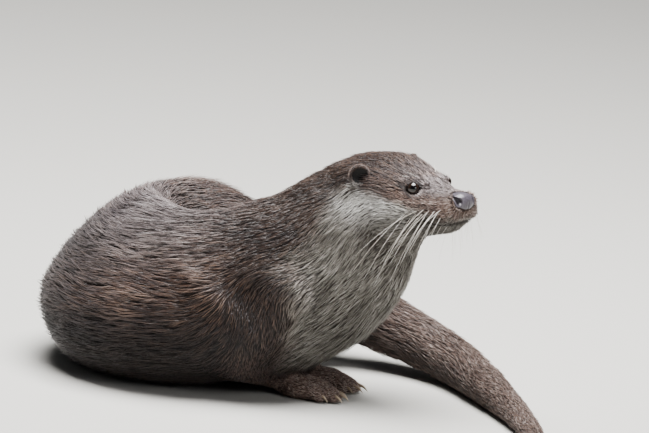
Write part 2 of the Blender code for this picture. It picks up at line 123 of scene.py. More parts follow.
# The head's own axes: forward along the muzzle, left, and up, from the eyes and the nose.
NOSE_DROP = math.radians(15.72)  # how far the line from between the eyes to the nose dips below the muzzle's
EYES = {side: middle("eye_" + side) for side in ("left", "right")}
EYE_RADIUS = (corners("eye_left")[1] - corners("eye_left")[0]).max() / 2
HEAD_LEFT = unit(EYES["left"] - EYES["right"])
SIGHT = middle("nose") - (EYES["left"] + EYES["right"]) / 2
SIGHT = unit(SIGHT - HEAD_LEFT * SIGHT.dot(HEAD_LEFT))
HEAD_FORWARD = SIGHT * math.cos(NOSE_DROP) + np.cross(SIGHT, HEAD_LEFT) * math.sin(NOSE_DROP)
HEAD_UP = np.cross(HEAD_FORWARD, HEAD_LEFT)
EYE_LIFT = 1.2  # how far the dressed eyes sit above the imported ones, in millimetres
EYES = {side: centre + HEAD_UP * EYE_LIFT * MM for side, centre in EYES.items()}
NOSE_TIP = middle("nose") + (HEAD_FORWARD * 5 + HEAD_UP * 0.6) * MM


def on_head(back, out, up):
    """Millimetres back from the nose tip, out to the left and up, to a place."""
    return NOSE_TIP + (-HEAD_FORWARD * back + HEAD_LEFT * out + HEAD_UP * up) * MM


def in_head(spots):
    """Places to millimetres back, out to the left and up."""
    arms = (np.asarray(spots) - NOSE_TIP) / MM
    return -arms @ HEAD_FORWARD, arms @ HEAD_LEFT, arms @ HEAD_UP


# ---------------------------------------------------------------- lie of the coat

def walked(line):
    """How far each place of a line is along it."""
    return np.concatenate(([0], np.cumsum(np.linalg.norm(np.diff(line, axis=0), axis=1))))


def sampled(rows, lengths, along):
    """The columns of a line's rows, read at distances along it."""
    return np.stack([np.interp(along, lengths, rows[:, c]) for c in range(rows.shape[1])], 1)


def round_corners(line, rounds):
    for _ in range(rounds):
        line[1:-1] += 0.5 * ((line[:-2] + line[2:]) / 2 - line[1:-1])


SECTION_THICK, SECTION_WIDE = 0.007, 0.042  # half thickness and reach of a cross-section of the tail, in metres


def tail_line(count=40, rounds=12):
    """The tail's middle line: started at its slices' centres, then moved to the middle of each cross-section."""
    rough = np.array(slices("tail_base", 0, 5)[:2] + slices("tail_middle", 1, 5, onward=False)
                     + slices("tail_tip", 1, 5, onward=False))
    lengths = walked(rough)
    line = sampled(rough, lengths, np.linspace(0, lengths[-1], count))
    spots = np.concatenate([points_of(node) for node in ("trunk_rump",) + TAIL])
    for _ in range(rounds):
        ahead = unit(np.gradient(line, axis=0))
        for k in range(1, len(line) - 1):
            arms = spots - line[k]
            near = (np.abs(arms @ ahead[k]) < SECTION_THICK) & (np.linalg.norm(arms, axis=1) < SECTION_WIDE)
            arms = arms[near]
            across = unit(np.cross(ahead[k], (0.0, 0.0, 1.0)))
            for way in (across, np.cross(across, ahead[k])):
                if len(arms) > 5:
                    reach = arms @ way
                    line[k] += 0.5 * way * (reach.min() + reach.max()) / 2
        round_corners(line, 6)
    return line


TAIL_LINE = tail_line()
TAIL_BEND = TAIL_LINE[np.abs(TAIL_LINE[:, 1] - corners("tail_base")[0][1]).argmin()]  # where the base is cut


def turn_place(degrees, height):
    """A place on the hip's turn, round the inner corner that the two loin nodes share."""
    low, high = corners("trunk_loin_front")
    centre = np.array((high[0], high[1], 0))
    arm = (high[1] - low[1]) / 2
    angle = math.radians(degrees)
    return centre + np.array((-math.cos(angle) * arm, math.sin(angle) * arm, height * MM))


# A station of a guide line: place, radius of the body there, hair length, lock width, coat depth (all in
# millimetres), skin smoothing and the share of painted shade underneath (shares), and the piece of coat that
# starts there.
def spine_stations():
    """From the nose over the neck and round the hip's turn to the tail's tip."""
    face = [
        (on_head(-2, 0, -4), 10, 3.2, 0.50, 0.6, 0.08, 0.3, "coat_face"),
        (on_head(14, 0, -8), 24, 5.0, 0.56, 0.8, 0.10, 0.3, "coat_face"),
        (on_head(31, 0, -7), 28, 6.6, 0.62, 1.0, 0.10, 0.4, "coat_face"),
        (on_head(50, 0, -4), 34, 8.8, 0.66, 1.2, 0.12, 0.6, "coat_head"),
        (on_head(72, 0, -2), 40, 10.8, 0.68, 1.5, 0.15, 0.8, "coat_head"),
        (on_head(95, 0, -3), 43, 12.5, 0.68, 2.0, 0.3, 1.0, "coat_head"),
    ]
    body = [
        (inside("neck", 0.74, 0.515, 0.69), 48, 15, 0.72, 2.3, 0.4, 1.0, "coat_neck"),
        (inside("neck", 0.61, 0.53, 0.54), 54, 17, 0.76, 2.5, 0.5, 1.0, "coat_neck"),
        (inside("trunk_chest", 0.60, 0.55, 0.67), 60, 19.5, 0.80, 2.6, 0.5, 1.0, "coat_chest"),
        (inside("trunk_chest", 0.29, 0.54, 0.53), 68, 22, 0.84, 2.6, 0.5, 1.0, "coat_chest"),
        (inside("trunk_waist", 0.5, 0.5, 0.46), 70, 23, 0.84, 2.6, 0.5, 1.0, "coat_chest"),
    ]
    body += [(turn_place(degrees, height), 70, 24, 0.84, 2.6, 0.5, 1.0, name) for degrees, height, name in (
        (-90, 76, "coat_loin_front"), (-60, 76, "coat_loin_front"), (-28, 76, "coat_loin_turn"),
        (0, 75, "coat_loin_turn"), (28, 73, "coat_loin_rear"), (60, 71, "coat_loin_rear"), (90, 68, "coat_rump"))]
    body += [
        (inside("trunk_rump", 0.52, 0.48, 0.42), 66, 23, 0.84, 2.6, 0.5, 1.0, "coat_rump"),
        (inside("trunk_rump", 0.98, 0.48, 0.36), 46, 19, 0.80, 2.5, 0.4, 0.9, "coat_rump"),
    ]
    tail = [[centre, 0, 0, 0, 0, 0, 0, "coat_tail"] for centre in TAIL_LINE[1::2]]
    for k, station in enumerate(tail):
        share = k / (len(tail) - 1)
        station[1:4] = 32 - 23 * share, 19 - 8 * share, 0.80 - 0.2 * share
        station[4:7] = 2.4 - 1.2 * share, 0.3 - 0.2 * share, 0.7 - 0.5 * share
    return face + body + tail


def leg_stations(leg, paw, fore):
    """From the top of a leg down it, then out along its paw."""
    rows = []
    downs = slices(leg, 2, 4, onward=False)
    for k, centre in enumerate(downs):
        share = k / (len(downs) - 1)
        rows.append((centre, (34 if fore else 32) - 16 * share, 11.5 - 6.5 * share, 0.9 - 0.3 * share,
                     2.4 - 1.5 * share, 0.3 - 0.2 * share, 1.0 - 0.5 * share, "coat_legs"))
    for k, centre in enumerate(slices(paw, 0, 4, onward=fore)):
        rows.append((centre, 15 - k, 3.8 - 0.4 * k, 0.58 - 0.02 * k, 0.45, 0.04, 0.0, "coat_paws"))
    return rows


def guide(stations, spacing=3.0):
    """A guide line drawn through its stations at even spacing, as arrays."""
    places = np.array([row[0] for row in stations])
    values = np.array([row[1:7] for row in stations], float)
    lengths = walked(places)
    along = np.linspace(0, lengths[-1], max(8, int(lengths[-1] / (spacing * MM))))
    line, sizes = sampled(places, lengths, along), sampled(values, lengths, along)
    round_corners(line, 60)
    ahead = unit(np.gradient(line, axis=0))
    side = np.empty_like(ahead)
    across = np.array((0.0, 1.0, 0.0)) if abs(ahead[0][1]) < 0.7 else np.array((1.0, 0.0, 0.0))
    for k, way in enumerate(ahead):
        across = unit(across - way * across.dot(way))
        side[k] = across
    names = [stations[max(0, int(np.searchsorted(lengths, a, side="right")) - 1)][7] for a in along]
    return {"line": line, "ahead": ahead, "side": side, "sizes": sizes, "along": along, "names": names}


GUIDES = [guide(spine_stations())]
for leg_name, paw_name in zip(LEGS, PAWS):
    GUIDES.append(guide(leg_stations(leg_name, paw_name, leg_name.startswith("fore"))))
LINE, AHEAD, SIDE, SIZES, ALONG = (np.concatenate([g[key] for g in GUIDES])
                                   for key in ("line", "ahead", "side", "sizes", "along"))
LIMB = np.concatenate([np.full(len(g["line"]), k) for k, g in enumerate(GUIDES)])
NAMES = sum([g["names"] for g in GUIDES], [])
RADIUS, LENGTH, WIDTH, DEPTH, EVEN, SHADE = range(6)
TAIL_START = GUIDES[0]["along"][GUIDES[0]["names"].index("coat_tail")]
TAIL_SHARE = smoothstep(0, 0.05, ALONG - TAIL_START) * (LIMB == 0)  # 1 on the tail, 0 elsewhere


def nearest_guide(spots, batch=4000):
    """For each place the guide sample that it belongs to: the nearest for the body's radius there."""
    found = np.empty(len(spots), int)
    for start in range(0, len(spots), batch):
        part = spots[start:start + batch]
        away = np.linalg.norm(part[:, None, :] - LINE[None], axis=2) / SIZES[None, :, RADIUS]
        found[start:start + batch] = away.argmin(axis=1)
    return found


def round_guide(spots, near):
    """Each place's arm from its guide sample, its distance along the guide and its angle round it."""
    arms = spots - LINE[near]
    along = ALONG[near] + (arms * AHEAD[near]).sum(axis=1)
    high = np.cross(AHEAD[near], SIDE[near])
    return arms, along, np.arctan2((arms * high).sum(axis=1), (arms * SIDE[near]).sum(axis=1))


# ---------------------------------------------------------------- skin

def waves(spots, length, seed):
    """Smooth noise from -1 to 1 that changes over about this many millimetres."""
    chance = np.random.default_rng(seed)
    ways = unit(chance.normal(size=(9, 3))) * chance.uniform(0.7, 1.5, (9, 1)) * 2 * math.pi / (length * MM)
    return np.sin(spots @ ways.T + chance.uniform(0, 2 * math.pi, 9)).sum(axis=1) / 3.4


def mesh_arrays(mesh):
    """A mesh's places and its edges, one row each."""
    spots = np.empty(len(mesh.vertices) * 3)
    mesh.vertices.foreach_get("co", spots)
    edges = np.empty(len(mesh.edges) * 2, int)
    mesh.edges.foreach_get("vertices", edges)
    return spots.reshape(-1, 3), edges.reshape(-1, 2)


def normals_of(mesh):
    rows = np.empty(len(mesh.vertices) * 3)
    mesh.vertex_normals.foreach_get("vector", rows)
    return rows.reshape(-1, 3)


def relaxed(values, edges, share, rounds):
    """Each value moves towards its neighbours' mean by its share, several times."""
    values = np.array(values, float)
    flat = values.ndim == 1
    values = values[:, None] if flat else values
    a, b = edges.T
    count = len(values)
    degree = np.maximum(np.bincount(a, minlength=count) + np.bincount(b, minlength=count), 1)
    share = np.broadcast_to(np.asarray(share, float), (count,))
    for _ in range(rounds):
        for c in range(values.shape[1]):
            column = values[:, c]
            total = np.bincount(a, column[b], count) + np.bincount(b, column[a], count)
            values[:, c] = column + share * (total / degree - column)
    return values[:, 0] if flat else values


def named_values(mesh, **columns):
    """Gives a mesh attributes, one value for each vertex."""
    for name, values in columns.items():
        mesh.attributes.new(name, "FLOAT", "POINT").data.foreach_set("value", np.asarray(values, np.float32))


def put(mesh, spots):
    mesh.vertices.foreach_set("co", np.asarray(spots, float).ravel())
    mesh.update()


def object_of(name, mesh):
    thing = bpy.data.objects.new(name, mesh)
    bpy.context.collection.objects.link(thing)
    return thing


def mesh_of(bm, name, smooth=False):
    """Writes a bmesh into a new mesh and frees it."""
    for face in bm.faces:
        face.smooth = face.smooth or smooth
    mesh = bpy.data.meshes.new(name)
    bm.to_mesh(mesh)
    bm.free()
    return mesh


def applied(thing):
    """The object's mesh with its modifiers in it, alone."""
    graph = bpy.context.evaluated_depsgraph_get()
    mesh = bpy.data.meshes.new_from_object(thing.evaluated_get(graph))
    bpy.data.objects.remove(thing)
    return mesh


def copied(nodes, swell=0.0):
    """The merged meshes of some nodes in one, swollen by some millimetres."""
    bm = bmesh.new()
    for node in nodes:
        bm.from_mesh(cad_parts[node].data)
    bmesh.ops.remove_doubles(bm, verts=bm.verts[:], dist=0.01 * MM)
    bm.normal_update()
    for vert in bm.verts:
        vert.co += vert.normal * swell * MM
    return mesh_of(bm, "flesh")


def remeshed(name, mesh, voxel, faces=None):
    """One closed surface round all of a mesh, of this grain, thinned to about this many triangles."""
    thing = object_of(name, mesh)
    grain = thing.modifiers.new("grain", "REMESH")
    grain.mode, grain.voxel_size, grain.adaptivity = "VOXEL", voxel * MM, 0
    mesh = applied(thing)
    if faces and len(mesh.polygons) * 2 > faces:
        thing = object_of(name, mesh)
        fewer = thing.modifiers.new("fewer", "DECIMATE")
        fewer.ratio = faces / (len(mesh.polygons) * 2)
        mesh = applied(thing)
    return mesh


def refined(mesh, wanted):
    """Cuts the edges in two where wanted(places) says so."""
    bm = bmesh.new()
    bm.from_mesh(mesh)
    inner = wanted(np.array([v.co for v in bm.verts]))
    edges = [e for e in bm.edges if inner[e.verts[0].index] and inner[e.verts[1].index]]
    bmesh.ops.subdivide_edges(bm, edges=edges, cuts=1, use_grid_fill=True)
    bmesh.ops.triangulate(bm, faces=[f for f in bm.faces if len(f.verts) > 4])
    bm.to_mesh(mesh)
    bm.free()
    return mesh


BEND_REACH = 0.05   # how far before and after the bend the tail's rings are taken as they are, in metres
RING_THICK = 0.006  # half thickness of such a ring


def even_bend(spots, edges):
    """Rounds the tail's bend: between a ring before it and a ring after it the radius changes evenly."""
    near = nearest_guide(spots)
    on_tail = TAIL_SHARE[near] > 0
    arms = spots - LINE[near]
    past = (arms * AHEAD[near]).sum(axis=1)
    arms -= AHEAD[near] * past[:, None]
    far = np.linalg.norm(arms, axis=1)
    angle = np.arctan2((arms * np.cross(AHEAD[near], SIDE[near])).sum(axis=1), (arms * SIDE[near]).sum(axis=1))
    beyond = ALONG[near] + past - ALONG[nearest_guide(TAIL_BEND[None])[0]]
    turns = np.linspace(-math.pi, math.pi, 37)

    def ring(at):
        picked = on_tail & (np.abs(beyond - at) < RING_THICK)
        weights = np.exp(30 * (np.cos(angle[picked][None] - turns[:, None]) - 1))
        return np.interp(angle, turns, (weights * far[picked][None]).sum(axis=1) / weights.sum(axis=1))

    share = np.clip((beyond + BEND_REACH) / (2 * BEND_REACH), 0, 1)
    wanted = ring(-BEND_REACH) * (1 - share) + ring(BEND_REACH) * share
    weight = smoothstep(0.062, 0.048, np.abs(beyond)) * on_tail
    spots = spots + arms * ((wanted - far) * weight / np.maximum(far, 1e-6))[:, None]
    spots[:, 2] = np.maximum(spots[:, 2], 0)
    return relaxed(spots, edges, 0.5 * weight, 24)


def bend_filled(mesh):
    """The mesh with balls of muscle along the tail's line, where its flat cut leaves a corner open."""
    bm = bmesh.new()
    bm.from_mesh(mesh)
    bend = np.abs(TAIL_LINE - TAIL_BEND).sum(axis=1).argmin()
    onward = unit(TAIL_LINE[bend + 2] - TAIL_LINE[bend - 2])
    line = TAIL_LINE[bend - 5:bend + 5]
    lengths = walked(line)
    for place in sampled(line, lengths, np.linspace(0, lengths[-1], int(lengths[-1] / 2.5 / MM))):
        past = (place - TAIL_BEND) @ onward / MM
        size = min(22.6 - 0.045 * past, place[2] / MM)  # a little under the tail's radius, and off the floor
        bmesh.ops.create_uvsphere(bm, u_segments=32, v_segments=20, radius=size * MM,
                                  matrix=Matrix.Translation(place))
    return mesh_of(bm, "filled_flesh")


def body_skin():
    """All the flesh in one surface, smoothed, then drawn in by the coat's depth."""
    mesh = remeshed("skin", bend_filled(copied(FLESH + ("nose",), CUT_CLOSER)), SKIN_VOXEL, SKIN_FACES)
    spots, edges = mesh_arrays(mesh)
    near = nearest_guide(spots)
    even = relaxed(SIZES[near, EVEN], edges, 0.5, 12)
    spots = relaxed(spots, edges, even, 36)
    spots = even_bend(spots, edges)
    put(mesh, spots)
    depth = relaxed(SIZES[near, DEPTH], edges, 0.5, 12)
    put(mesh, spots - normals_of(mesh) * (depth + flank_hollow(spots))[:, None] * MM)
    return mesh


def by_chest(spots):
    """Millimetres on from the chest's low corner and above it, and the share of the way across to its left."""
    low, high = corners("trunk_chest")
    return (spots[:, 0] - low[0]) / MM, (spots[:, 2] - low[2]) / MM, (spots[:, 1] - low[1]) / (high[1] - low[1])


def flank_crest(spots):
    """1 on the ridge of hair that stands behind the right elbow, 0 away from it."""
    x, z, across = by_chest(spots)
    along, aside = (x + 18) * 0.72 - (z - 97) * 0.69, (x + 18) * 0.69 + (z - 97) * 0.72
    return bump_at(np.hypot(along / 30, aside / 9), 1) * smoothstep(0.42, 0.22, across)


def flank_hollow(spots):
    """Depth in millimetres of the hollow behind the right shoulder, less the flank's crest behind it."""
    x, z, across = by_chest(spots)
    hollow = 8.5 * bump_at(np.hypot((x - 12) / 21, (z - 82) / 30), 1) * smoothstep(0.42, 0.22, across)
    return hollow - 4.5 * flank_crest(spots)


skin_mesh = body_skin()


# ---------------------------------------------------------------- face

GAZE_OUT, GAZE_UP = math.radians(52), math.radians(14)  # how far each eye looks outwards and up
LID_WIDE, LID_HIGH, LID_LOW = 0.87, 0.80, 0.03          # the lids' half openings and drop, on a ball of radius 1
LID_THICK = 0.55                                        # millimetres of lid over the ball
NOSE_WIDE, NOSE_HIGH, NOSE_RISE = 12.4, 7.1, 1.4        # half width, half height and height of the leather
NOSTRIL = ((1.0, 10.5, 1.8), (8.0, 12.8, 6.0))          # back, out and up, from the round end to the slit's end


def eye_axes(side):
    """Gaze, along the lids and up, for the left (1) or right (-1) eye."""
    gaze = (HEAD_FORWARD * math.cos(GAZE_OUT) + HEAD_LEFT * side * math.sin(GAZE_OUT)) * math.cos(GAZE_UP)
    gaze = unit(gaze + HEAD_UP * math.sin(GAZE_UP))
    up = unit(HEAD_UP - gaze * gaze.dot(HEAD_UP))
    return gaze, np.cross(up, gaze), up


def lid_measure(spots, side):
    """0 at the middle of an eye's opening and 1 at its lids' edge; and millimetres from the ball's centre."""
    gaze, along, up = eye_axes(side)
    arms = np.asarray(spots) - EYES[SIDES[side]]
    far = np.linalg.norm(arms, axis=1)
    ways = arms / np.maximum(far, 1e-9)[:, None]
    front = ways @ gaze
    across, high = ways @ along, ways @ up + LID_LOW
    measure = np.sqrt((across / LID_WIDE) ** 2 + (high / LID_HIGH) ** 2)
    return np.where(front > 0, measure, 9.0), far / MM


def lower_lid(spots, side):
    """1 below the middle of an eye, 0 above it."""
    gaze, along, up = eye_axes(side)
    return smoothstep(0.05, -0.35, unit(spots - EYES[SIDES[side]]) @ up)


def nostril(back, out, up):
    """Distance from a nostril's slit over its half width there."""
    start, way = np.array(NOSTRIL[0]), np.subtract(NOSTRIL[1], NOSTRIL[0])
    arms = np.stack((back, np.abs(out), up), -1) - start
    share = np.clip(arms @ way / way.dot(way), 0, 1)
    return np.linalg.norm(arms - share[..., None] * way, axis=-1) / (3.5 - 2.5 * share)


def nose_zone(back, out, up):
    """0 in the middle of the nose's leather, 1 at its edge."""
    pad = np.sqrt((out / NOSE_WIDE) ** 2 + ((up - NOSE_RISE) / NOSE_HIGH) ** 2
                  + (np.maximum(back - 9, 0) / 5) ** 2)
    return np.minimum(pad, nostril(back, out, up) / 1.5)


def mouth_line(back):
    """Height of the mouth's line on the head at a distance back from the nose tip."""
    return -15.5 - 0.02 * back - 3.0 * np.exp(-((back - 16) / 9.0) ** 2) + 2.5 * smoothstep(30, 44, back)


def nose_piece(mesh):
    """The nose's leather: a ball drawn out to a little over the muzzle's skin, with nostrils and a cleft."""
    centre = on_head(8, 0, 0.5)
    tree = BVHTree.FromPolygons([v.co for v in mesh.vertices], [p.vertices for p in mesh.polygons])
    bm = bmesh.new()
    bmesh.ops.create_uvsphere(bm, u_segments=144, v_segments=90, radius=1.0)
    turn = Matrix((HEAD_LEFT, HEAD_UP, -HEAD_FORWARD)).transposed()
    for vert in bm.verts:
        way = (turn @ vert.co).normalized()
        hit = tree.ray_cast(Vector(centre), way, 20 * MM)
        reach = hit[3] if hit[0] is not None else 6 * MM
        back, out, up = in_head(np.array(Vector(centre) + way * reach))
        raised = 1.0 - 3.4 * float(smoothstep(0.94, 1.14, nose_zone(back, out, up)))
        raised -= 4.6 * float(bump_at(nostril(back, out, up), 0.72))
        raised += 0.3 * float(bump_at(nostril(back, out, up) - 1.3, 0.35))
        raised -= 0.8 * float(bump_at(out, 0.9) * smoothstep(3.0, -2.0, up))
        vert.co = Vector(centre) + way * max(reach + raised * MM, 3 * MM)
    bmesh.ops.recalc_face_normals(bm, faces=bm.faces[:])
    leather = mesh_of(bm, "nose_leather", smooth=True)
    # hole: where black painted shade fills the nostrils
    named_values(leather, hole=smoothstep(1.15, 0.6, nostril(*in_head(mesh_arrays(leather)[0]))))
    return object_of("nose_leather", leather)


def shaped_face(mesh):
    """Finer skin on the face, then lids, lips, whisker pads and cheeks, and the nose's leather over it."""
    def by_eye(spots, reach):
        return np.minimum(*(np.linalg.norm(spots - c, axis=1) for c in EYES.values())) < reach * MM

    def by_mouth(spots):
        back, out, up = in_head(spots)
        return (np.abs(up - mouth_line(back)) < 4) & (back < 46)

    mesh = refined(mesh, lambda spots: (in_head(spots)[0] < 12) | by_eye(spots, 14) | by_mouth(spots))
    mesh = refined(mesh, lambda spots: by_eye(spots, 9.5))
    spots, edges = mesh_arrays(mesh)
    back, out, up = in_head(spots)
    on_face = smoothstep(62, 50, back)
    spots = relaxed(spots, edges, 0.5 * on_face, 9)
    put(mesh, spots)
    nose = nose_piece(mesh)
    normals = normals_of(mesh)
    back, out, up = in_head(spots)
    aside, lips = np.abs(out), up - mouth_line(back)
    # whisker pads, brows, the dip before the eyes and the fold over their inner corners
    push = 1.6 * bump_at(np.hypot(back - 15, up + 7), 9) * smoothstep(6, 14, aside)
    push += 0.5 * bump_at(np.hypot(back - 42, up - 17), 6) * smoothstep(12, 22, aside)
    push -= 0.8 * bump_at(np.hypot(back - 30, up - 6), 7) * smoothstep(8, 14, aside)
    push += 3.0 * bump_at(np.hypot(back - 32, aside - 18), 5.5) * smoothstep(12, 16, up)
    # the mouth's line, the upper lip over it and the chin set back
    push -= 1.2 * bump_at(lips, 1.5) * smoothstep(46, 38, back)
    push += 0.5 * bump_at(lips - 3.6, 2.6) * smoothstep(40, 30, back)
    push -= 2.2 * smoothstep(1.10, 0.92, nose_zone(back, out, up))
    push -= 4.6 * bump_at(nostril(back, out, up), 0.85)
    push -= 0.8 * smoothstep(20, 3, back) * smoothstep(-15, -21, up)
    # the cleft from the nose down to the lip
    push -= 0.9 * bump_at(out, 1.2) * smoothstep(12, 6, back) * smoothstep(-3, -8, up) * smoothstep(-16, -13, up)
    spots = spots + normals * (push * on_face)[:, None] * MM
    for side in (1, -1):
        measure, far = lid_measure(spots, side)
        centre = EYES[SIDES[side]]
        ball = EYE_RADIUS / MM
        rim = ball + LID_THICK + 0.5 * bump_at(measure - 1.28, 0.16)
        rim += 0.8 * (1 - lower_lid(spots, side)) * smoothstep(1.0, 1.2, measure)
        wanted = np.where(measure < 1, ball - 1.0, rim)
        hold = smoothstep(1.75, 1.15, measure) * smoothstep(14, 10, far)
        wanted = far + (wanted - far) * hold
        spots = centre + (spots - centre) * (wanted / np.maximum(far, 1e-9))[:, None]
    put(mesh, spots)
    return mesh, nose


skin_mesh, nose = shaped_face(skin_mesh)
skin_mesh.name = "skin"
skin = object_of("skin", skin_mesh)


EAR_LENGTH, EAR_WIDTH, EAR_ROUND = 2.6, 0.5, 8.6   # hair on the ears, and the bowl's radius, in millimetres


def ear_axes(side):
    """The ear's middle, the way that it opens, and its outward side."""
    outward = HEAD_LEFT if side == "left" else -HEAD_LEFT
    opening = unit(HEAD_FORWARD * 0.62 + outward * 0.78 + HEAD_UP * 0.08)
    return middle("ear_" + side) + outward * 1.6 * MM, opening, outward


def ear_places(spots, side):
    """Depth towards the opening and distance from the bowl's axis, in millimetres."""
    centre, opening, outward = ear_axes(side)
    arms = (spots - centre) / MM
    deep = arms @ opening
    return deep, np.linalg.norm(arms - deep[:, None] * opening, axis=1)


# ---------------------------------------------------------------- markings

# Where the whiskers of one side root, back and up on the head in millimetres, and the dark dots between them.
WHISKER_ROWS = ((-4.0, 0.0), (-7.0, 2.0), (-10.0, 0.0))
WHISKER_ROOTS = [(10.5 + 5.6 * k + shift, up - 0.08 * (10.5 + 5.6 * k))
                 for up, shift in WHISKER_ROWS + ((-1.0, 2.6),) for k in range(6)]


def markings(spots):
    """How pale the coat is at each place, 0 to 1: cheeks, throat, bib and chin."""
    back, out, up = in_head(spots)
    chest_low, chest_high = corners("trunk_chest")
    neck_low, neck_high = corners("neck")
    height = (spots[:, 2] - chest_low[2]) / (neck_high[2] - chest_low[2])
    edge = chest_low[0] + (chest_high[0] - chest_low[0]) * (0.47 + 0.25 * smoothstep(0.55, 0.85, height))
    bib = smoothstep(-24, 22, (spots[:, 0] - edge) / MM + 6 * waves(spots, 22, 5))
    bib *= smoothstep(neck_high[1] + 0.02, neck_high[1] - 0.01, spots[:, 1])
    bib *= smoothstep(24, 48, spots[:, 2] / MM) * smoothstep(12, 2, (spots[:, 0] - neck_high[0]) / MM)
    bib *= smoothstep(203, 186, spots[:, 2] / MM)
    cheek_line = np.interp(back, (0, 14, 26, 40, 62, 82, 92, 120), (-13, -12, -9, -5, 2, 9, 12, 14))
    cheek = smoothstep(6, -6, up - cheek_line + 1.5 * waves(spots, 9, 6))
    in_front = smoothstep(118, 90, back)
    head_level = smoothstep(80, 105, spots[:, 2] / MM)
    return np.clip(cheek * in_front * head_level + bib * (1 - in_front * head_level), 0, 1)


def white_cheeks(spots):
    """How far white hair covers the cheeks below the ears, 0 to 1."""
    back, out, up = in_head(spots)
    patch = bump_at(np.hypot((back - 80) / 26, (up + 2 - 0.12 * (back - 80)) / 13), 1)
    return 0.8 * patch * smoothstep(12, 26, np.abs(out)) * markings(spots)


def frosting_and_painted_light(spots, shade, tail):
    """How far pinkish tips lighten the brown of the muzzle and round the eyes, and how far painted light lightens
    the paws and the tail, 0 to 1.
    """
    back, out, up = in_head(spots)
    muzzle = smoothstep(44, 26, back) * smoothstep(9, 1, up)
    cheek = 0.5 * bump_at(np.hypot((back - 62) / 30, (up - 4) / 11), 0.8)
    face = np.maximum(muzzle, cheek) * (back < 110) * (up > -60)
    # painted light: the paws and the tail are lightened as if lit
    face = np.maximum(np.maximum(face, smoothstep(0.28, 0.02, shade)), 0.85 * tail)
    return np.clip(face + 0.15 * waves(spots, 8, 9) * (face > 0.05), 0, 1)


def painted_sheen_share(spots, normals):
    """How far a painted sheen of the sky lightens the bridge of the nose, the brow and all that faces the sky, 0
    to 1.
    """
    back, out, up = in_head(spots)
    bridge = smoothstep(46, 30, back) * smoothstep(3, 9, up) * (up < 60)
    brow = 0.5 * bump_at(np.hypot((back - 44) / 16, (up - 22) / 8), 1)
    # painted sheen of the sky on the top of the body, brightest over the loin
    dome = turn_place(-50, 152)
    shine = 0.08 + bump_at(np.linalg.norm((spots - dome) / (0.085, 0.085, 0.08), axis=1), 1)
    sky = shine * smoothstep(0.15, 0.9, normals[:, 2]) * smoothstep(90, 130, back)
    most = np.maximum(np.maximum(bridge, brow), sky)
    return np.clip(most + 0.2 * waves(spots, 9, 14) * (most > 0.05), 0, 1)


def dusk(spots, normals, shade):
    """Painted shade: how much darker the coat is drawn low on the sides, underneath, in the folds, in the hip's
    inner corner and below the jaw; on the neck it is the fur's darker brown, lifted where it faces up.
    """
    x, z, across = by_chest(spots)
    height = spots[:, 2] / MM
    # painted shade in the folds by the elbows
    fold = bump_at(np.hypot((x - 8) / 27, (z - 64) / 46), 1)
    fold *= smoothstep(0.38, 0.2, np.minimum(across, 1 - across))
    # painted shade in the inner corner of the hip's turn
    turn = turn_place(0, 0) + (0.072, 0, 0)
    inner = 0.75 * bump_at(np.linalg.norm((spots - turn)[:, :2], axis=1), 0.026)
    inner *= smoothstep(0.09, 0.12, spots[:, 2])
    # painted shade low on the body, where it faces down or away from the light
    below = 0.9 * smoothstep(140, 40, height) * smoothstep(0.75, 0.0, normals[:, 2])
    below = np.maximum(below, 0.8 * smoothstep(-0.2, -0.9, normals[:, 0]) * smoothstep(165, 120, height))
    back, out, up = in_head(spots)
    # the neck's darker brown, less where it faces up into the light
    front = 0.6 * smoothstep(-95, -25, spots[:, 0] / MM) * smoothstep(62, 92, height) * smoothstep(42, 66, back)
    front *= 1 - 0.8 * smoothstep(0.55, 0.95, normals[:, 2]) * smoothstep(80, 105, back)
    front *= 1 - markings(spots)
    most = np.maximum(np.maximum(below, fold), np.maximum(inner, front))
    # painted shade under the jaw
    jaw = 0.45 * smoothstep(-9, -15, up) * smoothstep(52, 34, back) * (up > -60)
    most = most * shade * (1 - 0.5 * markings(spots)) * (1 - flank_crest(spots))
    return np.clip(np.maximum(most, jaw), 0, 1)


def face_tones(spots):
    """0 to 1: dark bare skin of the lids and lips, painted shade in the nostrils, and the dark roots of the
    whiskers.
    """
    dark = np.zeros(len(spots))
    back, out, up = in_head(spots)
    for side in (1, -1):
        measure, far = lid_measure(spots, side)
        edge = 1.24 - 0.08 * lower_lid(spots, side)
        dark = np.maximum(dark, smoothstep(edge, edge - 0.14, measure) * smoothstep(12, 10, far))
    dark = np.maximum(dark, 0.45 * bump_at(up - mouth_line(back), 1.2) * smoothstep(46, 38, back))
    # painted shade in the nostrils
    dark = np.maximum(dark, bump_at(nostril(back, out, up), 1.1))
    for root_back, root_up in WHISKER_ROOTS:
        dark = np.maximum(dark, 0.7 * bump_at(np.hypot(back - root_back, (up - root_up) * 1.4), 1.1))
    return dark


def lid_rims(spots):
    """1 on the pale wet edge of each lower lid."""
    pale = np.zeros(len(spots))
    for side in (1, -1):
        measure, far = lid_measure(spots, side)
        edge = smoothstep(1.13, 1.09, measure) * smoothstep(12, 10, far)
        pale = np.maximum(pale, edge * lower_lid(spots, side))
    return pale


skin_spots, skin_edges = mesh_arrays(skin_mesh)
skin_normals = normals_of(skin_mesh)
skin_near = nearest_guide(skin_spots)
skin_shade = relaxed(SIZES[skin_near, SHADE], skin_edges, 0.5, 10)
skin_tail = relaxed(TAIL_SHARE[skin_near], skin_edges, 0.5, 10)
named_values(skin_mesh, pale=markings(skin_spots), bare=face_tones(skin_spots),
             frost=frosting_and_painted_light(skin_spots, skin_shade, skin_tail), white=white_cheeks(skin_spots),
             silver=painted_sheen_share(skin_spots, skin_normals), dusk=dusk(skin_spots, skin_normals, skin_shade),
             rim=lid_rims(skin_spots))


# ---------------------------------------------------------------- coat

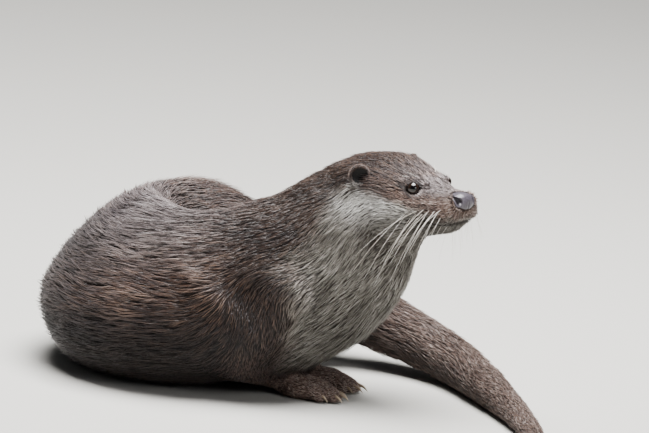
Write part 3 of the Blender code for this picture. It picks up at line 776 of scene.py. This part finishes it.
def coat_fields(mesh):
    """Lie, length, width and more of the coat at each vertex of the skin."""
    spots, edges = mesh_arrays(mesh)
    normals = normals_of(mesh)
    near = nearest_guide(spots)
    lie = relaxed(AHEAD[near], edges, 0.5, 60)
    away = spots - on_head(9, 0, 2)   # on the muzzle the hair spreads from the nose
    by_nose = smoothstep(30, 12, np.linalg.norm(away, axis=1) / MM)[:, None]
    lie = lie * (1 - 0.8 * by_nose) + unit(away) * 0.8 * by_nose
    lie = unit(lie - normals * (lie * normals).sum(axis=1)[:, None])
    sizes = relaxed(SIZES[near], edges, 0.5, 10)
    crowd = np.where(LIMB[near] > 0, LEG_SHARE, 1.0)
    return {"spots": spots, "normals": normals, "near": near, "lie": lie, "sizes": sizes, "crowd": crowd}


def triangles_of(mesh):
    mesh.calc_loop_triangles()
    rows = np.empty(len(mesh.loop_triangles) * 3, int)
    mesh.loop_triangles.foreach_get("vertices", rows)
    return rows.reshape(-1, 3)


def roots_on(triangles, fields, thickness):
    """Places for locks, as even as the mesh allows, so many that they overlap by this thickness."""
    a, b, c = (fields["spots"][triangles[:, k]] for k in range(3))
    area = np.linalg.norm(np.cross(b - a, c - a), axis=1) / 2 / MM ** 2
    sizes = fields["sizes"][triangles].mean(axis=1)
    crowd = area * thickness / (sizes[:, WIDTH] * sizes[:, LENGTH] * 0.5)
    crowd *= fields["crowd"][triangles].mean(axis=1)
    total = np.cumsum(crowd)
    picks = np.arange(CHANCE.random(), total[-1], 1.0)
    chosen = np.searchsorted(total, picks)
    u, v = CHANCE.random((2, len(chosen)))
    fold = u + v > 1
    u[fold], v[fold] = 1 - u[fold], 1 - v[fold]
    return chosen, np.stack((1 - u - v, u, v), 1)


def gathered(near, roots, sizes):
    """How far each lock's tip leans aside to meet others in a wet point, in metres, and each point's tone."""
    arms, along, angle = round_guide(roots, near)
    breadth = sizes[:, WIDTH] * 3.4 * MM
    row = np.floor(along / (sizes[:, LENGTH] * 0.6 * MM))
    place = angle * np.linalg.norm(arms, axis=1) / breadth + np.modf(row * 0.618)[0]
    tone = np.modf(np.abs(np.sin(row * 12.9898 + np.floor(place) * 78.233 + LIMB[near] * 3.7)) * 4375.85)[0]
    return (np.floor(place) + 0.5 - place) * breadth, tone - 0.5


KNEE, BEYOND_KNEE = 0.42, 0.58  # shares of a lock's length up to where it is widest, and from there to its tip


def locks(roots, normals, lie, length, width, rise, lie_down, lean):
    """Vertices of thin spindles: root, left, right, ridge and tip of each lock, in metres."""
    side = np.cross(normals, lie)
    rows = lambda values: values[:, None]
    knee = roots + rows(length * KNEE) * (lie * rows(np.cos(rise)) + normals * rows(np.sin(rise)))
    tip = knee + rows(length * BEYOND_KNEE) * (lie * rows(np.cos(lie_down)) + normals * rows(np.sin(lie_down)))
    sway = CHANCE.normal(0, 0.05, len(roots)) * length
    knee, tip = knee + side * rows(lean * 0.35), tip + side * rows(sway + lean * 0.85)
    foot = roots - normals * rows(0.35 * width)
    left, right = knee - side * rows(width / 2), knee + side * rows(width / 2)
    ridge = knee + normals * rows(width * 0.30)
    return np.stack((foot, left, right, ridge, tip), axis=1)


LOCK_FACES = np.array(((0, 1, 3), (0, 3, 2), (0, 2, 1), (4, 3, 1), (4, 2, 3), (4, 1, 2)))
LOCK_MAP = np.array(((0.0, -0.5), (-0.5, 0.0), (0.5, 0.0), (0.0, 0.15), (0.0, 0.5)))


def coat_piece(name, places, map_roots, columns):
    """One mesh of many locks with its bake map and its values."""
    count = len(places)
    mesh = bpy.data.meshes.new(name)
    mesh.vertices.add(count * 5)
    mesh.vertices.foreach_set("co", places.ravel())
    corner_rows = (LOCK_FACES[None] + 5 * np.arange(count)[:, None, None]).ravel()
    mesh.loops.add(len(corner_rows))
    mesh.loops.foreach_set("vertex_index", corner_rows)
    mesh.polygons.add(count * LOCK_TRIANGLES)
    mesh.polygons.foreach_set("loop_start", np.arange(0, len(corner_rows), 3))
    mesh.polygons.foreach_set("use_smooth", np.ones(count * LOCK_TRIANGLES, bool))
    mesh.update(calc_edges=True)
    mesh.validate()
    patch = map_roots[:, None, :] + LOCK_MAP[None] * PATCH
    mesh.uv_layers.new(name="OFBake").uv.foreach_set("vector", patch[:, LOCK_FACES].reshape(-1, 2).ravel())
    named_values(mesh, **{key: np.repeat(rows, 5) if rows.ndim == 1 else rows.ravel()
                          for key, rows in columns.items()})
    return object_of(name, mesh)


def unwrapped(roots, near):
    """Where each root lies on an unwrap of the skin: along the body or limb, and round it."""
    arms, along, angle = round_guide(roots, near)
    round_it = angle / (2 * math.pi) + 0.5
    limbs = sorted(set(LIMB[near]))
    island = np.searchsorted(limbs, LIMB[near])
    u = np.empty(len(roots))
    for k in range(len(limbs)):
        mine = island == k
        low, high = along[mine].min(), along[mine].max()
        u[mine] = (along[mine] - low) / max(high - low, 1e-9)
    v = (island + 0.02 + 0.96 * round_it) / len(limbs)
    edge = 2 * PATCH
    return np.stack((edge + u * (1 - 2 * edge), edge + v * (1 - 2 * edge)), 1)


def bare_places(spots):
    """Whether no hair grows: within the lids, on the nose's leather, along the lips and in the ears."""
    back, out, up = in_head(spots)
    bare = np.zeros(len(spots))
    for side in (1, -1):
        measure, far = lid_measure(spots, side)
        bare = np.maximum(bare, (measure < 1.12) & (far < 12))
    nose = nose_zone(back, out, up) < 1.04
    lips = (np.abs(up - mouth_line(back)) < 0.5) & (back < 42)
    for side in ("left", "right"):
        deep, aside = ear_places(spots, side)
        bare = np.maximum(bare, (aside < 7.2) & (deep > -3.2) & (deep < 6))
    return (bare > 0) | nose | lips


def grow_coat(mesh, fields, thickness):
    """Locks all over a mesh by its fields, one piece for each named stretch of the guides."""
    triangles = triangles_of(mesh)
    chosen, weights = roots_on(triangles, fields, thickness)
    mean = lambda rows: (rows[triangles[chosen]] * weights[:, :, None]).sum(axis=1)
    roots, normals = mean(fields["spots"]), unit(mean(fields["normals"]))
    kept = ~bare_places(roots)
    chosen, weights, roots, normals = chosen[kept], weights[kept], roots[kept], normals[kept]
    lie, sizes = mean(fields["lie"]), mean(fields["sizes"])
    near = fields["near"][triangles[chosen, 0]]
    names = np.array(NAMES)[near]
    # The lie wanders a little, and wet hair gathers in tufts that lean together.
    side = np.cross(normals, lie)
    turn = 0.12 * waves(roots, 50, 1) + 0.07 * waves(roots, 14, 2) + CHANCE.normal(0, 0.06, len(roots))
    lie = unit(lie * np.cos(turn)[:, None] + side * np.sin(turn)[:, None])
    lie = unit(lie - normals * (lie * normals).sum(axis=1)[:, None])
    length = sizes[:, LENGTH] * MM * CHANCE.uniform(0.72, 1.22, len(roots))
    width = sizes[:, WIDTH] * MM * CHANCE.uniform(0.75, 1.25, len(roots))
    tufted = waves(roots, 7, 3)
    crest = flank_crest(roots)
    flat = TAIL_SHARE[near]
    rise = np.radians(14 - 7 * flat + 3 * tufted + 8 * crest + CHANCE.normal(0, 3, len(roots)))
    lie_down = np.radians(3 - 2 * flat + 3 * tufted + 8 * crest + CHANCE.normal(0, 3, len(roots)))
    # Positive lean follows the angle round the guide, which the locks' own side may face or oppose.
    high = np.cross(AHEAD[near], roots - LINE[near])
    lean, point_tone = gathered(near, roots, sizes)
    lean = lean * np.sign((high * np.cross(normals, lie)).sum(axis=1))
    places = locks(roots, normals, lie, length, width, rise, lie_down, lean)
    places[:, :, 2] = np.maximum(places[:, :, 2], FLOOR_GAP * MM)
    pale = np.clip(markings(roots) + CHANCE.normal(0, 0.07, len(roots)), 0, 1)
    tone = 0.5 + 0.24 * CHANCE.normal(0, 1, len(roots)) + 0.7 * point_tone + 0.1 * waves(roots, 6, 12)
    # painted highlight: locks on the flank's crest are drawn lighter
    tone = np.clip(tone + 0.18 * crest, 0, 1)
    values = {"pale": pale, "tone": tone,
              "along": np.broadcast_to(np.array((0.0, KNEE, KNEE, 0.45, 1.0)), (len(roots), 5)),
              "bare": face_tones(roots), "frost": frosting_and_painted_light(roots, sizes[:, SHADE], flat),
              "silver": painted_sheen_share(roots, normals), "dusk": dusk(roots, normals, sizes[:, SHADE]),
              "white": white_cheeks(roots)}
    made = []
    for name in sorted(set(names)):
        mine = names == name
        assert mine.sum() <= MOST_LOCKS, (name, int(mine.sum()))
        columns = {key: rows[mine] for key, rows in values.items()}
        made.append(coat_piece(name, places[mine], unwrapped(roots[mine], near[mine]), columns))
    return made


coat = grow_coat(skin_mesh, coat_fields(skin_mesh), COAT_LAYERS)


# ---------------------------------------------------------------- ears, eyes, nose, claws, whiskers

def ear_hollow(mesh, side):
    """1 on the bowl's inside, 0 on its rim and back."""
    deep, aside = ear_places(mesh_arrays(mesh)[0], side)
    return smoothstep(0.1, 0.5, normals_of(mesh) @ ear_axes(side)[1]) * smoothstep(8.4, 6.8, aside)


def ear_piece(side):
    """A rounded ear with a bowl in its front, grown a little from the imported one."""
    mesh = remeshed("ear_skin_" + side, copied(["ear_" + side], 0.5), EAR_VOXEL)
    spots, edges = mesh_arrays(mesh)
    spots = relaxed(spots, edges, 0.5, 8)
    centre, opening, outward = ear_axes(side)
    spots = spots + outward * 1.6 * MM
    deep, aside = ear_places(spots, side)
    bowl = np.minimum(deep, -2.4 + 5.4 * (aside / EAR_ROUND) ** 2)
    spots = spots + opening * ((bowl - deep) * (deep > -2.4))[:, None] * MM
    put(mesh, relaxed(spots, edges, 0.5, 3))
    mesh.name = "ear_skin_" + side
    return mesh


def ear_fields(mesh, side):
    """The short coat of an ear, spreading from the ear's foot."""
    spots = mesh_arrays(mesh)[0]
    normals = normals_of(mesh)
    centre, opening, outward = ear_axes(side)
    foot = centre - HEAD_UP * 9 * MM + opening * 3 * MM
    lie = unit(spots - foot - opening * 6 * MM)
    lie = unit(lie - normals * (lie * normals).sum(axis=1)[:, None])
    sizes = np.tile(np.array((10.0, EAR_LENGTH, EAR_WIDTH, 0.5, 0.1, 1.0)), (len(spots), 1))
    near = np.full(len(spots), int(np.argmin(np.linalg.norm(LINE - foot, axis=1))))
    return {"spots": spots, "normals": normals, "near": near, "lie": lie, "sizes": sizes,
            "crowd": np.full(len(spots), 0.6)}


def eye_piece(side):
    """Ball with its pole at the pupil, and how far each place is from the pupil's middle."""
    sign = 1 if side == "left" else -1
    gaze, along, up = eye_axes(sign)
    bm = bmesh.new()
    bmesh.ops.create_uvsphere(bm, u_segments=48, v_segments=32, radius=EYE_RADIUS * 0.985)
    turn = Matrix((along, up, gaze)).transposed()
    for vert in bm.verts:  # the cornea stands a little proud of the ball
        height = vert.co.normalized().z
        vert.co *= 1 + 0.055 * max(0.0, (height - 0.72) / 0.28) ** 1.2
    bmesh.ops.rotate(bm, verts=bm.verts[:], cent=(0, 0, 0), matrix=turn)
    bmesh.ops.translate(bm, verts=bm.verts[:], vec=Vector(EYES[side]))
    mesh = mesh_of(bm, "eye_ball_" + side, smooth=True)
    ways = unit(mesh_arrays(mesh)[0] - EYES[side])
    named_values(mesh, ring=np.degrees(np.arccos(np.clip(ways @ gaze, -1, 1))) / 90)
    return object_of("eye_ball_" + side, mesh)


def swept(path, radii, sides, flat=1.0):
    """A closed tapering tube along a path, extruded ring by ring."""
    bm = bmesh.new()
    ring = bmesh.ops.create_circle(bm, cap_ends=False, segments=sides, radius=1.0)["verts"]
    edges = bm.edges[:]
    places = [Vector(p) for p in path]
    shape = [vert.co.copy() for vert in ring]
    rings = []
    for k, place in enumerate(places):
        if k:
            new = bmesh.ops.extrude_edge_only(bm, edges=edges)["geom"]
            edges = [g for g in new if isinstance(g, bmesh.types.BMEdge)]
            fresh = [g for g in new if isinstance(g, bmesh.types.BMVert)]
            ring = sorted(fresh, key=lambda v: min(range(sides), key=lambda n: (v.co - rings[-1][n].co).length))
        ahead = (places[min(k + 1, len(places) - 1)] - places[max(k - 1, 0)]).normalized()
        side = ahead.cross(Vector((0, 0, 1))).normalized()
        turn = Matrix((side * flat, side.cross(ahead), ahead)).transposed()
        for n, vert in enumerate(ring):
            vert.co = place + turn @ (shape[n] * radii[k] * MM)
        rings.append(ring)
    bmesh.ops.holes_fill(bm, edges=[e for e in bm.edges if e.is_boundary], sides=sides)
    bmesh.ops.recalc_face_normals(bm, faces=bm.faces[:])
    return bm


def claw_piece(node):
    """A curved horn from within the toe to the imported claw's tip."""
    paw = node.replace("claw_fore", "forepaw").replace("claw_hind", "hindpaw").rsplit("_", 1)[0]
    spots = points_of(node)
    away = np.linalg.norm(spots - middle(paw), axis=1)
    tip, foot = spots[away.argmax()], spots[away < np.partition(away, 12)[12]].mean(axis=0)
    ahead = tip - foot
    path, radii = [], []
    for share in np.linspace(-0.25, 1, 8):
        arch = np.array((0, 0, 1.6 * MM * math.sin(math.pi * min(max(share, 0), 1))))
        path.append(foot + ahead * share + arch)
        radii.append(0.15 + 1.65 * (1 - max(share, 0)) ** 0.8)
    mesh = mesh_of(swept(path, radii, 10, flat=0.72), "horn_" + node, smooth=True)
    named_values(mesh, along=np.clip((mesh_arrays(mesh)[0] - foot) @ ahead / ahead.dot(ahead), 0, 1))
    return object_of("horn_" + node, mesh)


def strands(name, paths, radii):
    """Many fine tapering bristles in one mesh: paths (count, steps, 3) in metres, radii (count, steps)."""
    count, steps, sides = len(paths), paths.shape[1], 5
    ahead = unit(np.gradient(paths, axis=1))
    side = unit(np.cross(ahead, np.array((0.1, 0.2, 1.0))))
    high = np.cross(side, ahead)
    angles = 2 * math.pi * np.arange(sides) / sides
    around = side[:, :, None] * np.cos(angles)[:, None] + high[:, :, None] * np.sin(angles)[:, None]
    rings = paths[:, :, None] + around * radii[:, :, None, None]
    places = rings.reshape(-1, 3)
    k, n = np.meshgrid(np.arange(steps - 1), np.arange(sides), indexing="ij")
    first, follow = k * sides + n, k * sides + (n + 1) % sides
    walls = np.stack((first, follow, follow + sides, first + sides), -1).reshape(-1, 4)
    ends = np.array((range(sides - 1, -1, -1), range((steps - 1) * sides, steps * sides)))
    offsets = (np.arange(count) * steps * sides)[:, None, None]
    loops = np.concatenate(((walls + offsets).ravel(), (ends + offsets).ravel()))
    sizes = np.concatenate((np.full(count * len(walls), 4), np.full(count * 2, sides)))
    mesh = bpy.data.meshes.new(name)
    mesh.vertices.add(len(places))
    mesh.vertices.foreach_set("co", places.ravel())
    mesh.loops.add(len(loops))
    mesh.loops.foreach_set("vertex_index", loops)
    mesh.polygons.add(len(sizes))
    mesh.polygons.foreach_set("loop_start", np.concatenate(((0,), np.cumsum(sizes)[:-1])))
    mesh.polygons.foreach_set("use_smooth", np.ones(len(sizes), bool))
    mesh.update(calc_edges=True)
    mesh.validate()
    return object_of(name, mesh)


def whisker_rows():
    """Root, first way (back, out, up) and length of each whisker, for the left side, in millimetres."""
    rows = []
    for row, (up, shift) in enumerate(WHISKER_ROWS):
        for k in range(6):
            back = 10.5 + 5.6 * k
            way = (0.16 + 0.09 * k, 1.0 - 0.05 * k, -0.55 - 0.28 * row)
            rows.append(((back + shift, 0, up - 0.08 * back), way, 36 + 6 * k - 3 * row))
    for k in range(3):  # chin
        rows.append(((10 + 5 * k, 0, -20), (0.4, 0.7, -1.0), 18))
    return rows


def brow_rows():
    """The same for the two bristles over an eye."""
    return [((46 + 3 * k, 0, 20), (0.55 + 0.25 * k, 0.75, 0.9), 12 - 2 * k) for k in range(2)]


HEAD_ROWS = np.flatnonzero(in_head(skin_spots)[0] < 75)
HEAD_SPOTS = [values[HEAD_ROWS] for values in in_head(skin_spots)]


def surface_at(back, up, sign):
    """The skin's place on one side of the head at this distance back and height."""
    rows_back, rows_out, rows_up = HEAD_SPOTS
    fits = np.hypot(rows_back - back, rows_up - up) + 40.0 * (rows_out * sign <= 0)
    return skin_spots[HEAD_ROWS[fits.argmin()]]


def whiskers():
    """All the bristles of the face in one piece, drooping a little."""
    paths, radii = [], []
    chance = np.random.default_rng(11)
    shares = np.linspace(0, 1, 11)
    for sign in (1, -1):
        for (back, out, up), way, length in whisker_rows() + brow_rows():
            root = surface_at(back, up, sign)
            way = np.array(way) * (1, sign, 1) + chance.normal(0, 0.16, 3)
            way = unit(-HEAD_FORWARD * way[0] + HEAD_LEFT * way[1] + HEAD_UP * way[2])
            length = length * chance.uniform(0.8, 1.15) * MM
            droop = chance.uniform(0.22, 0.42) * length
            path = root + (shares * length)[:, None] * way - np.outer(shares ** 2 * droop, (0, 0, 1))
            paths.append(path - way * 1.0 * MM)
            radii.append((0.11 * (1 - shares) ** 0.7 + 0.03) * MM)
    return strands("whiskers", np.array(paths), np.array(radii))


ears, ear_coat = [], []
for side_name in ("left", "right"):
    ear_mesh = ear_piece(side_name)
    named_values(ear_mesh, bare=0.3 + 0.7 * ear_hollow(ear_mesh, side_name),
                 **dict.fromkeys(("pale", "frost", "silver", "dusk", "rim", "white"),
                                 np.zeros(len(ear_mesh.vertices))))
    ears.append(object_of("ear_skin_" + side_name, ear_mesh))
    grown = grow_coat(ear_mesh, ear_fields(ear_mesh, side_name), EAR_LAYERS)
    for piece in grown:
        piece.name = "coat_ear_" + side_name
    ear_coat += grown
eyes = [eye_piece(side_name) for side_name in ("left", "right")]
CLAWS = ["claw_%s_%s_%d" % (pair, side_name, k)
         for pair in ("fore", "hind") for side_name in ("right", "left") for k in range(1, 6)]
claws = [claw_piece(node) for node in CLAWS]
whisker_piece = whiskers()


# ---------------------------------------------------------------- finishes

def linear(code):
    """An sRGB hex colour as linear red, green, blue and alpha."""
    parts = [int(code[k:k + 2], 16) / 255 for k in (1, 3, 5)]
    return [c / 12.92 if c <= 0.04045 else ((c + 0.055) / 1.055) ** 2.4 for c in parts] + [1.0]


def add(tree, kind, inputs=None, **settings):
    """A node with its settings; an input is a value or (node, output) to link."""
    node = tree.nodes.new(kind)
    for key, value in settings.items():
        setattr(node, key, value)
    for key, value in (inputs or {}).items():
        if isinstance(value, tuple) and isinstance(value[0], bpy.types.Node):
            tree.links.new(value[0].outputs[value[1]], node.inputs[key])
        else:
            node.inputs[key].default_value = value
    return node


def fineness(size):
    """The scale of a pattern on Object coordinates whose features are this many millimetres across."""
    return 1 / (size * MM)


def material(name, colour, bump=None, **sockets):
    """A material of one shader; colour(tree) gives its base colour, bump(tree) the relief of its surface."""
    made = bpy.data.materials.new(name)
    made.use_nodes = True
    tree = made.node_tree
    tree.nodes.clear()
    inputs = {key.replace("_", " "): value for key, value in sockets.items()}
    inputs["Base Color"] = colour(tree)
    if bump:
        inputs["Normal"] = bump(tree)
    shader = add(tree, "ShaderNodeBsdfPrincipled", inputs)
    add(tree, "ShaderNodeOutputMaterial", {"Surface": (shader, "BSDF")})
    return made


def value_of(tree, name):
    return add(tree, "ShaderNodeAttribute", attribute_name=name), "Fac"


def ramp(tree, source, *stops):
    """Colours at places between 0 and 1, read by a value."""
    node = add(tree, "ShaderNodeValToRGB", {"Fac": source})
    steps = node.color_ramp.elements
    for _ in stops[2:]:
        steps.new(0.5)
    for step, (place, colour) in zip(steps, stops):
        step.position, step.color = place, linear(colour)
    return node, "Color"


def blended(tree, share, first, second, way="MIX"):
    return add(tree, "ShaderNodeMix", {0: share, 6: first, 7: second}, data_type="RGBA", blend_type=way), 2


def marked(tree, below, marking, above):
    """The colour below, and the colour above it as far as the marking's attribute says."""
    return blended(tree, value_of(tree, marking), below, above)


def dimmed(tree, colour, shade):
    """A colour multiplied by another."""
    return blended(tree, 1.0, colour, shade, "MULTIPLY")


# Dark, middle and light hair of each part of the coat: the brown of the back, then what is laid over it by
# its marking: pinkish tips, with painted light on the paws and the tail; a painted sheen of the sky; and the grey
# cream of cheeks, throat and chest.
BROWN = ("#2a1a12", "#6d4c3b", "#c29c83")
LAID_OVER = {"frost": ("#5c463b", "#b39486", "#f7e6dc"), "silver": ("#5e5255", "#c2b4b3", "#faf2f4"),
             "pale": ("#66635a", "#c0bdb2", "#f8f6ef")}


def fur_colour(tree, tone):
    """The coat's colour by its markings, painted sheen and painted shade, and a tone from dark to light; dark
    bare skin at lids and lips.
    """
    colour = ramp(tree, tone, *zip((0.0, 0.5, 1.0), BROWN))
    for marking, shades in LAID_OVER.items():
        colour = marked(tree, colour, marking, ramp(tree, tone, *zip((0.0, 0.5, 1.0), shades)))
    # painted shade over the coat's colour
    colour = marked(tree, colour, "dusk", linear("#1e1613"))
    return marked(tree, colour, "bare", linear("#1d1716"))


def noise(tree, size, **inputs):
    """A noise on Object coordinates, its features this many millimetres across."""
    place = add(tree, "ShaderNodeTexCoord")
    inputs.update({"Vector": (place, "Object"), "Scale": fineness(size)})
    return add(tree, "ShaderNodeTexNoise", inputs), "Fac"


def guard_hair_colour(tree):
    """Locks in darker and lighter patches a few centimetres wide, each with painted shade at its root, light at
    its tip.
    """
    patches = add(tree, "ShaderNodeMath", {0: noise(tree, 35.714, Detail=3.0), 1: 0.5, 2: -0.12},
                  operation="MULTIPLY_ADD")
    tone = add(tree, "ShaderNodeMath", {0: value_of(tree, "tone"), 1: 0.75, 2: (patches, 0)},
               operation="MULTIPLY_ADD")
    # painted shade towards each lock's root, among the other locks
    shade = ramp(tree, value_of(tree, "along"), (0.0, "#1f1b19"), (0.45, "#7d7875"), (1.0, "#ffffff"))
    colour = dimmed(tree, fur_colour(tree, (tone, 0)), shade)
    return marked(tree, colour, "white", linear("#eceae6"))


def underfur_noise(tree):
    """Wool, drawn 2.4 mm across: as coarse as it has to be to show between the locks."""
    return noise(tree, 2.381, Detail=4.0)


def underfur_colour(tree):
    """The coat's own colours, darkened as painted shade between the locks, with the pale wet edge of the lower
    lids.
    """
    # painted shade: the wool is darkened between the locks
    colour = dimmed(tree, fur_colour(tree, underfur_noise(tree)), linear("#4d4541"))
    return marked(tree, colour, "rim", linear("#a39a97"))


def relief(tree, height, strength, depth, invert=False):
    """A bump this many millimetres deep."""
    return add(tree, "ShaderNodeBump", {"Height": height, "Strength": strength, "Distance": depth * MM},
               invert=invert), "Normal"


def eye_colour(tree):
    """From the pupil's middle outwards: black pupil, dark brown iris, black rim, brown white of the eye."""
    return ramp(tree, value_of(tree, "ring"), (0.0, "#030202"), (0.24, "#040303"), (0.30, "#160d08"),
                (0.52, "#1e130c"), (0.58, "#050404"), (0.80, "#120d0b"))


def nose_pebbles(tree):
    """The nose's own pebbled grain, 0.7 mm across."""
    place = add(tree, "ShaderNodeTexCoord")
    return add(tree, "ShaderNodeTexVoronoi", {"Vector": (place, "Object"), "Scale": fineness(0.71429)},
               feature="F1"), "Distance"


def nose_colour(tree):
    """Grey leather, darker between the pebbles, and black painted shade in the nostrils."""
    return marked(tree, ramp(tree, nose_pebbles(tree), (0.0, "#5a545c"), (1.0, "#2b282d")), "hole",
                  linear("#070505"))


def claw_colour(tree):
    """Horn, darker at the root, with growth lines drawn 1.1 mm wide."""
    horn = ramp(tree, value_of(tree, "along"), (0.0, "#5c4b3d"), (0.4, "#94836d"), (1.0, "#c9bda6"))
    return blended(tree, noise(tree, 1.1111, Detail=2.0), horn, linear("#7d6c58"))


def whisker_colour(tree):
    """Some bristles yellower than others, over about 17 mm."""
    return ramp(tree, noise(tree, 16.667), (0.3, "#d9d0c2"), (0.7, "#fbf8f1"))


# Keratin hair, long and combed flat by water: a broad soft shine along the lie, a little bluish from the sky.
GUARD_HAIR = material("otter_guard_hair", guard_hair_colour, Roughness=0.46, IOR=1.55, Sheen_Weight=0.05,
                      Sheen_Roughness=0.4, Sheen_Tint=linear("#d6cbd8"), Coat_Weight=0.06, Coat_Roughness=0.25,
                      Specular_IOR_Level=0.36)
# Dense wool close to the skin: dull, and darkened as painted shade so that gaps between locks read as depth.
UNDERFUR = material("otter_underfur", underfur_colour,
                    lambda tree: relief(tree, underfur_noise(tree), 0.6, 1.0), Roughness=0.75, IOR=1.45)
# A wet cornea over the iris: nearly black, with small sharp lights.
WET_EYE = material("wet_eye", eye_colour, Roughness=0.04, IOR=1.38, Coat_Weight=0.35, Coat_Roughness=0.01)
# Moist bare skin in fine pebbles: a grey satin shine.
NOSE_LEATHER = material("nose_leather", nose_colour,
                        lambda tree: relief(tree, nose_pebbles(tree), 0.35, 0.3, invert=True),
                        Roughness=0.3, IOR=1.45)
# Solid horn worn smooth by walking: pale and half dull.
CLAW_HORN = material("claw_horn", claw_colour, Roughness=0.38, IOR=1.54)
# Clear keratin bristles: pale, with a thin bright line along each.
WHISKER_KERATIN = material("whisker_keratin", whisker_colour, Roughness=0.3, IOR=1.55)
# Matt painted board: shows the shadows and nothing else.
PLAIN_FLOOR = material("plain_floor", lambda tree: linear("#aeaca7"), Roughness=0.9)


def finished(piece, finish, slot, *nodes):
    """Gives a piece its material and its body, and hides the nodes that it stands for; its slot is not used."""
    piece.data.materials.clear()
    piece.data.materials.append(finish)
    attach(piece, "root")
    if nodes:
        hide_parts(*nodes)


for face in skin_mesh.polygons:
    face.use_smooth = True
finished(skin, UNDERFUR, "coat", *FLESH)
for piece in coat + ear_coat:
    finished(piece, GUARD_HAIR, "coat")
for piece, side_name in zip(ears, ("left", "right")):
    for face in piece.data.polygons:
        face.use_smooth = True
    finished(piece, UNDERFUR, "coat", "ear_" + side_name)
for piece, side_name in zip(eyes, ("left", "right")):
    finished(piece, WET_EYE, "eye", "eye_" + side_name)
finished(nose, NOSE_LEATHER, "nose_pad", "nose")
for piece, node in zip(claws, CLAWS):
    finished(piece, CLAW_HORN, "claw_horn", node)
finished(whisker_piece, WHISKER_KERATIN, "coat")


# ---------------------------------------------------------------- floor, light and camera

FLOOR_SIZE = 6.0  # metres from the middle of the floor to its edges
# Each light: name, place, what it points at, width in metres and power in watts.
LIGHTS = (("sky_panel", (0.05, 0.05, 2.0), (0.0, 0.0, 0.1), 1.5, 265.0),
          ("front_fill", (1.6, -1.5, 1.0), (0.1, 0.0, 0.15), 0.8, 19.0))
LENS = 559.1      # millimetres, on a sensor 36 mm wide
# Where the camera looks, its height over the horizon and tip sideways in degrees, and its distance in metres.
CAM_AIM, CAM_RISE, CAM_TIP, CAM_AWAY = (0.0142, -0.0191, 0.1633), 12.0, 4.6, 9.0


def studio():
    """A plain floor, a pale sky, a wide panel overhead and a weak light from the front."""
    bm = bmesh.new()
    bmesh.ops.create_grid(bm, x_segments=1, y_segments=1, size=FLOOR_SIZE)
    floor = object_of("floor", mesh_of(bm, "floor"))
    floor.data.materials.append(PLAIN_FLOOR)
    world = bpy.data.worlds.new("studio")
    bpy.context.scene.world = world
    world.use_nodes = True
    sky = world.node_tree.nodes["Background"].inputs
    sky["Color"].default_value, sky["Strength"].default_value = linear("#dfe3ea"), 0.12
    for name, place, aim, size, power in LIGHTS:
        light = bpy.data.lights.new(name, "AREA")
        light.size, light.energy = size, power
        lamp = object_of(name, light)
        lamp.location = place
        lamp.rotation_euler = (Vector(aim) - Vector(place)).to_track_quat("-Z", "Y").to_euler()


def camera():
    """On the otter's right, a little above it, far off with a long lens, tipped with the ground it lay on."""
    data = bpy.data.cameras.new("camera")
    data.sensor_width, data.lens = 36.0, LENS
    thing = object_of("camera", data)
    aim = Vector(CAM_AIM)
    rise, tip = math.radians(CAM_RISE), math.radians(CAM_TIP)
    away = Vector((0, -math.cos(rise), math.sin(rise)))
    thing.location = aim + away * CAM_AWAY
    turn = (-away).to_track_quat("-Z", "Y").to_matrix() @ Matrix.Rotation(tip, 3, "Z")
    thing.rotation_euler = turn.to_euler()
    data.clip_end = 20
    bpy.context.scene.camera = thing


studio()
camera()
